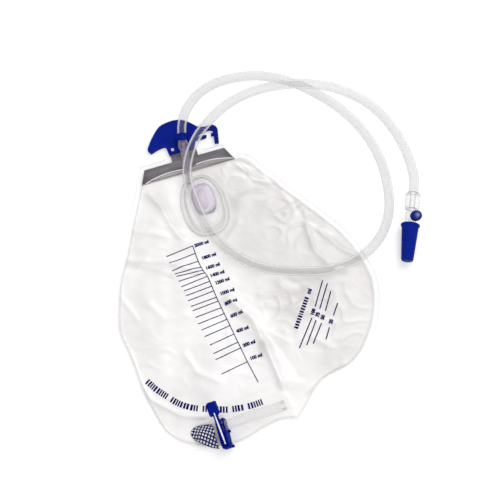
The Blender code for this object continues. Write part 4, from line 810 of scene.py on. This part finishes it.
def inkStrip(points, width):
    # a thin printed line: four corners at every point of its path, following the film
    line = inkPath(points)
    line = along(line, np.linspace(0, 1, max(int(lineShares(line)[-1] / 0.0012), 2) + 1))
    ahead = np.gradient(line, axis=0)
    ahead /= np.linalg.norm(ahead, axis=1)[:, None]
    across = np.stack([-ahead[:, 1], ahead[:, 0]], axis=-1) * width / 2.0
    sides = [line - across, line + across]
    low = [filmLevel(*s.T) + bag["thickness"] + ink["lift"] - ink["body"] / 2.0 for s in sides]
    places = np.stack([np.column_stack([sides[k], low[k] + rise]) for k, rise in (
        (0, 0.0), (1, 0.0), (1, ink["body"]), (0, ink["body"]))], axis=1)
    ends = np.array([[3, 2, 1, 0], [0, 1, 2, 3]]) + np.array([[0], [4 * (len(line) - 1)]])
    return places.reshape(-1, 3), np.vstack([gridFaces(len(line), 4, wrapColumns=True), ends])


def gathered(name, strips, material, slot):
    # many small pieces as one mesh
    starts = np.cumsum([0] + [len(points) for points, _ in strips[:-1]])
    faces = np.vstack([quads + start for (_, quads), start in zip(strips, starts)])
    return finishMesh(name, np.vstack([points for points, _ in strips]), faces, material, slot=slot, sharp=30.0)


def markBars(points, marks, height):
    # short upright bars spread along a line: a wide mark is a pair of bars, and a zero leaves a wider space
    line = inkPath(points, 12)
    reach, share = lineShares(line)[-1], ink["pairShare"]
    widths = np.array(marks) / 1000.0
    wide = np.where(widths > 0.0, widths + ink["barSpace"], ink["wordSpace"])
    stretch = reach / wide.sum()
    starts = (np.cumsum(wide) - wide) * stretch
    strips = []
    for at, width in zip(starts[widths > 0.0], widths[widths > 0.0] * stretch):
        pair = [(at, at + width * share), (at + width * (1.0 - share), at + width)]
        for first, last in [(at, at + width)] if width < ink["pairFrom"] else pair:
            a, b = along(line, first / reach), along(line, min(last / reach, 1.0))
            middle, upright = (a + b) * 500.0, np.array([a[1] - b[1], b[0] - a[0]]) / math.dist(a, b) * height / 2.0
            strips.append(inkStrip([tuple(middle - upright), tuple(middle + upright)], last - first))
    return strips


def makeScaleLines():
    strips = [inkStrip(ink["mainLine"], ink["line"])]
    for x, y, length, slope in ink["ticks"]:
        dx, dy = math.cos(math.radians(slope)) * length, math.sin(math.radians(slope)) * length
        strips.append(inkStrip([(x, y), (x - dx, y - dy)], ink["line"]))
    strips += [inkStrip(line, ink["smallLine"]) for line in ink["smallLines"]]
    gathered("scaleLines", strips, inkFinish, "blue_plastic")
    # two runs of short generic bars, one by the small scale and one along the arc
    bars = [bar for run in ("title", "arc") for bar in markBars(ink[run], ink[run + "Marks"], ink[run + "Height"])]
    gathered("printedBars", bars, inkFinish, "blue_plastic")


def makeLabels():
    # each label is flat text made a mesh, then laid on the film point by point: a style is slope, height and boldness
    items = [(text + " ml", x, y, *ink["labelStyle"]) for text, x, y in ink["labels"]]
    items += [(*label, *ink["smallStyle"]) for label in ink["smallLabels"]] + [(*ink["titleUnit"], *ink["unitStyle"])]
    for number, (text, x, y, slope, height, bold) in enumerate(items):
        curve = bpy.data.curves.new("label", "FONT")
        curve.body, curve.size, curve.offset = text, height / 1000.0 * ink["fontScale"], bold
        curve.align_x, curve.align_y = "CENTER", "CENTER"
        curve.extrude = ink["body"] / 2.0
        holder = addObject("label", curve)
        mesh = shapedMesh(holder)
        bpy.data.objects.remove(holder, do_unlink=True)
        mesh.transform(Matrix.Translation((x / 1000.0, y / 1000.0, 0.0)) @ Matrix.Rotation(math.radians(slope), 4, "Z"))
        places = np.empty(len(mesh.vertices) * 3)
        mesh.vertices.foreach_get("co", places)
        places = places.reshape(-1, 3)
        places[:, 2] += filmLevel(places[:, 0], places[:, 1]) + bag["thickness"] + ink["labelLift"]
        mesh.vertices.foreach_set("co", places.ravel())
        mergeDoubles(mesh)
        addPiece("label" + str(number + 1), mesh, inkFinish)


def makeCreases():
    # thin raised creases in the film where it lifts off the bar, coloured white as a painted highlight
    spans = (np.linspace(*span, 16) for span in ink["creaseSpans"])
    strips = [inkStrip(np.column_stack([x, barArc(x)]) * 1000.0, ink["creaseWidth"]) for x in spans]
    gathered("paintedBarCreases", strips, paintedCreaseHighlight, "clear_film")


makeScaleLines()
makeLabels()
makeCreases()
print("scale printed")


# inlet connector, drip chamber, valve and vent

inlet = {"lean": math.radians(6.0), "clipLean": math.radians(10.0), "joint": 0.0006, "drop": 0.0018, "collar": 0.0055,
         "collarRadius": 0.0055, "topRadius": 0.0044, "lowRadius": 0.0034, "noseRadius": 0.0027, "bore": 0.0016,
         "neckWall": 0.0012, "neckLength": 0.0065}
valve = {"x": 0.0055, "y": 0.0945, "halfWidth": 0.0118, "halfLength": 0.0165, "height": 0.0072, "wall": 0.0009,
         "funnelHalf": (0.0048, 0.0112), "funnelHeight": 0.0056, "funnelNarrowing": 0.25,
         "funnelPlace": (0.0045, 0.0955), "steps": 64, "funnelSteps": 48, "darkBelow": 0.0062, "darkReach": 0.0026,
         "rim": [(-62.0, 32.0, 0.9), (75.0, 34.0, 0.45), (170.0, 30.0, 0.3)]}  # angle, reach and strength


def inletAxis():
    # top, direction and run of the connector, which leans and drops a little from the clip to the valve
    down = np.array([-math.sin(inlet["clipLean"]), -math.cos(inlet["clipLean"]), 0.0])
    top = np.array(drainageTube["route"][0]) + down * (bag["gap"] + inlet["joint"])
    run = top[1] - (valve["y"] + valve["halfLength"] + 0.0012)
    aim = np.array([-math.tan(inlet["lean"]) * run, -run, -inlet["drop"]])
    return top, aim / np.linalg.norm(aim), run


inletTop, inletAim, inletRun = inletAxis()
neckTop = inletRun - (chamber["y"] + chamber["halfLength"] + inlet["neckLength"] * 0.85 - (inletTop[1] - inletRun))


def makeConnector():
    collar, radius, bore, nose = inlet["collar"], inlet["collarRadius"], inlet["bore"], inlet["noseRadius"]
    upper = inlet["topRadius"]
    turned("inletConnector", [
        (bore, 0.0), (radius - 0.0008, 0.0), (radius - 0.0002, 0.0003), (radius, 0.0009), (radius, collar - 0.0008),
        (radius - 0.0004, collar - 0.0001), (upper + 0.0003, collar), (upper, collar + 0.0005),
        (inlet["lowRadius"], neckTop), (nose, neckTop), (nose, inletRun), (bore, inletRun)],
        inletTop, inletAim, collarFinish, node="inlet_connector")


def ovalPiece(name, place, half, profile, power, narrowing, steps, material, **more):
    # rings of a rounded oval dome: each profile row is (share of the half sizes, extra reach x, extra reach y, height),
    # and the width shrinks by the narrowing share towards the top
    turn = np.arange(steps) * 2.0 * math.pi / steps
    cosine, sine = np.cos(turn), np.sin(turn)
    squareness = (np.abs(cosine) ** power + np.abs(sine) ** power) ** (-1.0 / power)
    profile = np.array(profile)
    x = (profile[:, 0:1] * half[0] * squareness + profile[:, 1:2]) * cosine
    y = (profile[:, 0:1] * half[1] * squareness + profile[:, 2:3]) * sine
    x = x * (1.0 - narrowing * ease(y, 0.0, half[1]))
    grid = np.stack([x, y, np.broadcast_to(profile[:, 3:4], x.shape)], axis=-1) + np.array(place)
    return finishMesh(name, grid, gridFaces(len(grid), steps, wrapColumns=True), material, sharp=50.0, **more)


def domeProfile(height, rings, sharpness=0.6667):
    # a quarter oval from the top out: the sine gives the radius share and the cosine the height, both to one power
    angle = np.linspace(0.0, math.pi / 2.0, rings)
    return [(math.sin(a) ** sharpness, 0.0, 0.0, height * math.cos(a) ** sharpness if a < 1.57 else 0.0) for a in angle]


def makeChamber():
    fx, fy, thick, wall = chamber["flange"], chamber["flangeLength"], chamber["flangeThickness"], chamber["wall"]
    middle, reach, steps = chamber["bandShare"], chamber["bandReach"], chamber["steps"]
    outer = domeProfile(chamber["height"], chamber["rings"])
    ridge = ((0.35, 0.0), (0.5, 0.0001), (0.62, 0.0007), (0.78, 0.0008), (0.92, 0.0002), (1.0, -0.0003), (1.0, -thick))
    outer += [(1.0, 0.0006, 0.0004, 0.0)] + [(1.0, fx * share, fy * share, height) for share, height in ridge]
    inset = wall / chamber["halfWidth"]
    dome = domeProfile(chamber["height"], chamber["rings"])
    inner = [(row[0] * (1.0 - inset), 0.0, 0.0, row[3] - wall) for row in dome[::-1]]
    inner[0] = (1.0 - inset, 0.0, 0.0, -thick)
    # painted shade: a grey band low on the dome's wall, and another along the flange's edge
    paintedBands = [math.exp(-((row[0] - middle) / reach) ** 2) if row[1] == 0.0 else float(row[1] > fx * 0.9)
            for row in outer] + [0.0] * len(inner)
    shell = ovalPiece("dripChamber", (chamber["x"], chamber["y"], chamber["seat"] + filmSkin + thick),
                      (chamber["halfWidth"], chamber["halfLength"]), outer + inner, chamber["squareness"],
                      chamber["narrowing"], steps, chamberFinish, attributes={"inner": np.repeat(paintedBands, steps)})
    neckLow, neckHigh = inletTop + inletAim * (inletRun - 0.0012), inletTop + inletAim * (neckTop + bag["gap"])
    bore, length = inlet["noseRadius"] + bag["gap"], float(np.linalg.norm(neckHigh - neckLow))
    radius = bore + inlet["neckWall"]
    wallLine = [(0.0, 0.0), (radius, 0.0), (radius, length - 0.0004), (radius - 0.0004, length), (0.0, length)]
    boreLine = [(0.0, -0.004), (bore, -0.004), (bore, length + 0.004), (0.0, length + 0.004)]
    neck, hole = (turned(name, profile, neckLow, -inletAim, chamberFinish, closed=False)
                  for name, profile in (("chamberNeck", wallLine), ("chamberBore", boreLine)))
    whole = joined("dripChamber", [shell, neck])
    whole = joined("dripChamber", [whole, hole], "DIFFERENCE")
    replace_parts(whole, "drip_chamber_shell")


def makeValve():
    low, steps, funnelSteps = chamber["seat"] + filmSkin + bag["gap"], valve["steps"], valve["funnelSteps"]
    outer = domeProfile(valve["height"], 14, 0.5)
    inset = 1.0 - valve["wall"] / valve["halfWidth"]
    rows = outer + [(row[0] * inset, 0.0, 0.0, max(row[3] - valve["wall"], 0.0)) for row in outer[::-1]]
    # painted shade low on the wall, most of all where the rim list says so, darkest at the lower right where a shadow
    # falls
    turn = np.arange(steps) * 2.0 * math.pi / steps
    around = 0.25 + sum(strength * np.exp(-((np.mod(turn - math.radians(at) + math.pi, 2.0 * math.pi) - math.pi)
                                            / math.radians(reach)) ** 2) for at, reach, strength in valve["rim"])
    heights = np.array([row[3] for row in rows])
    lowShare = np.clip((valve["darkBelow"] - heights) / valve["darkReach"], 0.0, 1.0)
    ovalPiece("refluxValve", (valve["x"], valve["y"], low), (valve["halfWidth"], valve["halfLength"]), rows,
              chamber["squareness"], 0.0, steps, violetFinish, node="reflux_valve", slot="violet_plastic",
              attributes={"paintedShade": np.clip(lowShare[:, None] * around, 0.0, 1.0)})
    rows = domeProfile(valve["funnelHeight"], 10, 0.8)
    # painted shade low on the funnel's wall
    paintedShade = [0.8 if row[3] < 0.0014 else 0.0 for row in rows] + [0.0]
    rows.append((0.0, 0.0, 0.0, 0.0))
    ovalPiece("valveFunnel", (*valve["funnelPlace"], low + 0.0002), valve["funnelHalf"], rows, 2.0,
              valve["funnelNarrowing"], funnelSteps, violetFinish, slot="violet_plastic",
              attributes={"paintedShade": np.repeat(paintedShade, funnelSteps)})


def makeVent():
    radius, rim, disc = vent["radius"], vent["radius"] - vent["rimWidth"], vent["discHeight"]
    turned("ventFilter", [
        (0.0, disc), (rim, disc), (rim + 0.0002, vent["rimHeight"] - 0.0001), (radius - 0.0007, vent["rimHeight"]),
        (radius - 0.0001, vent["rimHeight"] - 0.0005), (radius, 0.0), (0.0, 0.0)],
        (vent["x"], vent["y"], chamber["seat"] + filmSkin), (0.0, 0.0, 1.0), filterFinish, closed=False,
        node="vent_filter", slot="white_filter")


makeConnector()
makeChamber()
makeValve()
makeVent()
print("chamber, valve and vent placed")


# outlet port, outlet tube and pocket

def makePort():
    low, radius, top = port["seat"] + filmSkin, port["bossRadius"], port["bossHeight"]
    flange, thick, reach = port["flangeRadius"], port["flangeThickness"], port["bossRadius"] + port["spigotLength"]
    boss = turned("outletPort", [
        (0.0, top - 0.0012), (radius - 0.0022, top - 0.0012), (radius - 0.0018, top - 0.0001), (radius - 0.0008, top),
        (radius, top - 0.0009), (radius, thick + 0.0006), (radius + 0.0006, thick), (flange - 0.0005, thick),
        (flange, thick - 0.0005), (flange, 0.0), (0.0, 0.0)],
        (port["x"], port["y"], low), (0.0, 0.0, 1.0), portFinish, closed=False)
    inner = outlet["radius"] - outlet["wall"] - bag["gap"] * 2.5
    spigotLine = [(0.0, 0.0), (inner, 0.0), (inner, reach - 0.0008), (inner - 0.0006, reach), (0.0, reach)]
    spigot = turned("portSpigot", spigotLine,
                    (port["x"], port["y"], low + port["spigotHeight"]), outletAim, portFinish, closed=False)
    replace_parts(joined("outletPort", [boss, spigot]), "outlet_port")


def makeOutletTube():
    start = np.array([port["x"], port["y"], outletPath[0, 2]])
    reach = port["bossRadius"] + bag["gap"]
    past = outletPath[np.linalg.norm(outletPath - start, axis=1) > reach]
    shares = np.linspace(0, 1, outlet["rings"])
    path = along(np.vstack([start + outletAim * reach, past]), shares)
    # painted shade on the walls near the port end
    paintedShade = 0.45 * (1.0 - ease(shares, 0.01, 0.11))
    hollowTube("outletTube", path, outlet, outletFinish, paintedShade, node="outlet_tube")


def pocketLevel(x, y):
    # underside of the pocket: on the film, with a smooth hump over the tube's end
    resting = port["seat"] + filmSkin
    over = outletAt(np.maximum(x, outlet["end"][0]))[1] + outlet["radius"] + pocket["rise"] - resting
    beyond = ease(outlet["end"][0] - x, 0.0028, outlet["end"][0] - pocket["left"][0])
    away = np.abs(y - outletAt(x)[0]) / pocket["reach"]
    return resting + over * np.cos(np.minimum(away, 1.0) * math.pi / 2.0) ** 2 * (1.0 - beyond)


hatch = {"pitch": 0.00292, "gap": 0.62, "turn": 34.4, "border": 0.09, "endBorder": 0.03,
         "ink": (0.004, 0.005, 0.105, 1.0)}


def hatchMaterial():
    # printed mesh: rounded gaps on a square lattice turned on the pocket's own flat coordinates, and a printed border
    material, tree, shader, grain = newMaterial(
        "pocketPrint", (0.97, 0.97, 0.97), (0.94, 0.94, 0.95), 0.3, coarse=120.0, fine=1500.0, specular=0.15)
    lattice = addNode(tree, "Mapping", {
        "Vector": objectPlace(tree), "Rotation": (0.0, 0.0, math.radians(hatch["turn"])),
        "Scale": (1.0 / hatch["pitch"], 1.0 / hatch["pitch"], 1.0)}).outputs["Vector"]
    split, sums = addNode(tree, "SeparateXYZ", {"Vector": lattice}).outputs, sumsIn(tree)
    cubes = [sums("POWER", sums("ABSOLUTE", sums("SUBTRACT", sums("FRACT", split[axis]), 0.5)), 3.0) for axis in "XY"]
    printed = sums("GREATER_THAN", sums("ADD", *cubes), (hatch["gap"] / 2.0) ** 3)
    printed = sums("MAXIMUM", printed, markSocket(tree, "border"))
    opacity = addNode(tree, "MapRange", {"Value": printed, "To Min": 0.75, "To Max": 1.0})
    setInputs(tree, shader, {
        "Base Color": mixedColour(tree, printed, grain, hatch["ink"]), "Alpha": opacity.outputs["Result"]})
    return material


def makePocket():
    # flat outline whose half width follows a quarter circle from the closed end to the mouth
    (left, leftY), (mouth, mouthY) = pocket["left"], pocket["mouth"]
    run, sideways = np.meshgrid(np.linspace(0, 1, pocket["columns"]), np.linspace(-1, 1, pocket["rows"]))
    half = np.maximum(pocket["halfWidth"] * np.sqrt(np.maximum(1.0 - (1.0 - run) ** 2, 0.0)), 0.0012)
    x, y = left + (mouth - left) * run, leftY + (mouthY - leftY) * run + sideways * half
    border = np.maximum(np.abs(sideways) > 1.0 - hatch["border"], run < hatch["endBorder"]).astype(float)
    sheetPiece("outletPocket", np.stack([x, y], axis=-1), pocketLevel(x, y), hatchMaterial(), {"border": border},
               "outlet_pocket")


makePort()
makeOutletTube()
makePocket()
print("outlet placed")


# far fittings

fitting = {
    "start": (0.2085, 0.0372, 0.0098), "turn": math.radians(65.9), "gripLength": 0.0172, "gripRadius": 0.0066,
    "ribRise": 0.001, "ribs": 4, "bodyRadius": 0.0056, "taperStart": 0.034, "taperRadius": 0.0063,
    "tipRadius": 0.0043, "length": 0.066, "bore": 0.0028, "branchPosition": 0.0268, "branchRise": math.radians(66.0),
    "branchRadius": 0.0044, "branchLength": 0.0072, "septumRadius": 0.0058, "septumHeight": 0.0048,
    "capMouth": 0.0335, "capLength": 0.0385, "capWall": 0.0016, "flangeRadius": 0.0096, "flangeLength": 0.0024,
}


def makeFittings():
    start = np.array(fitting["start"])
    aim = -np.array([math.cos(fitting["turn"]), math.sin(fitting["turn"]), 0.0])
    bore, grip, gripEnd, rise = fitting["bore"], fitting["gripRadius"], fitting["gripLength"], fitting["ribRise"]
    pitch = (gripEnd - 0.002) / fitting["ribs"]
    profile = [(bore, 0.0), (grip - 0.0005, 0.0), (grip, 0.0005)]
    rib = ((0.0, 0.0), (0.8, 0.14), (1.0, 0.28), (1.0, 0.52), (0.8, 0.64), (0.0, 0.78))  # shares of its rise and pitch
    profile += [(grip + rise * high, 0.001 + (number + share) * pitch) for number in range(fitting["ribs"])
                for high, share in rib]
    profile += [(grip, gripEnd), (bore, gripEnd)]
    # painted shade at the grip's thick ends, seen edge on
    ends = [0.6 if at < 0.0016 or at > gripEnd - 0.0016 else 0.0 for _, at in profile]
    sleeve = turned("adapterGrip", profile, start, aim, clearFinish, node="adapter_grip", sharp=35.0,
                    marks={"paintedShade": ends})

    first, body, end = gripEnd + bag["gap"], fitting["bodyRadius"], fitting["length"]
    wide, tipRadius, shoulder = fitting["taperRadius"], fitting["tipRadius"], fitting["taperStart"]
    adapter = turned("catheterAdapter", [
        (bore, first), (body - 0.0004, first), (body, first + 0.0004), (body, shoulder - 0.0026),
        (wide - 0.0003, shoulder - 0.0012), (wide, shoulder), (tipRadius, end - 0.0008), (tipRadius - 0.0007, end),
        (bore, end)], start, aim, clearFinish)
    root, length, stem = start + aim * fitting["branchPosition"], fitting["branchLength"], fitting["branchRadius"]
    upwards = np.array([-aim[1], aim[0], 0.0]) * math.cos(fitting["branchRise"])
    upwards += np.array([0.0, 0.0, math.sin(fitting["branchRise"])])
    stub = turned("samplingBranch", [
        (0.0, bore + 0.0008), (stem, bore + 0.0008), (stem, length + 0.0006), (stem - 0.0004, length + 0.001),
        (0.0, length + 0.001)], root, upwards, clearFinish, closed=False)
    adapter = joined("catheterAdapter", [adapter, stub])
    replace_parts(adapter, "catheter_adapter")

    radius, height = fitting["septumRadius"], fitting["septumHeight"]
    seal = turned("samplingSeptum", [
        (0.0, height), (radius * 0.3, height - 0.0001), (radius * 0.6, height - 0.0005),
        (radius * 0.82, height - 0.0013), (radius * 0.95, height - 0.0022), (radius, height - 0.003),
        (radius, 0.0007), (radius - 0.0007, 0.0), (0.0, 0.0)],
        root + upwards * (length + 0.001 + bag["gap"]), upwards, septumFinish, closed=False, node="sample_port_septum",
        # the paler middle marked here is a painted highlight
        slot="blue_plastic", marks={"paintedCentreHighlight": [0.9, 0.35] + [0.0] * 7})

    mouth, last, wall = fitting["capMouth"], fitting["capMouth"] + fitting["capLength"], fitting["capWall"]
    inside, bottom, hollow = wide + bag["gap"] * 2.0, end + bag["gap"] * 2.0, tipRadius + bag["gap"]
    flange, flangeEnd, tip = fitting["flangeRadius"], mouth + fitting["flangeLength"], hollow + wall
    cap = turned("protectiveCap", [
        (0.0, bottom), (hollow, bottom), (inside, mouth), (flange - 0.0006, mouth), (flange - 0.0001, mouth + 0.0003),
        (flange, mouth + 0.0009), (flange, flangeEnd - 0.0008), (flange - 0.0002, flangeEnd - 0.0002),
        (flange - 0.0008, flangeEnd), (inside + wall + 0.0004, flangeEnd + 0.0001), (inside + wall, flangeEnd + 0.0006),
        (tip, last - 0.0020), (tip - 0.0003, last - 0.0009), (tip - 0.0010, last - 0.0002), (tip - 0.0020, last),
        (0.0, last)], start, aim, capFinish, closed=False, node="protective_cap", body="cap", slot="blue_plastic")
    return [sleeve, adapter, seal, cap]


fittingPieces = makeFittings()
print("fittings placed")


# moulded pieces that keep their CAD shape

for node, finish in (("hanger_hook", blueFinish), ("hanger_bar", smokeFinish), ("clamp_housing", clampFinish),
                     ("clamp_lever", leverFinish), ("clamp_pin", clampFinish), ("reflux_flap", clearFinish)):
    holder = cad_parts[node]
    for place in range(max(len(holder.material_slots), 1)):
        if len(holder.data.materials) <= place:
            holder.data.materials.append(finish)
        else:
            holder.data.materials[place] = finish
print("CAD pieces finished")
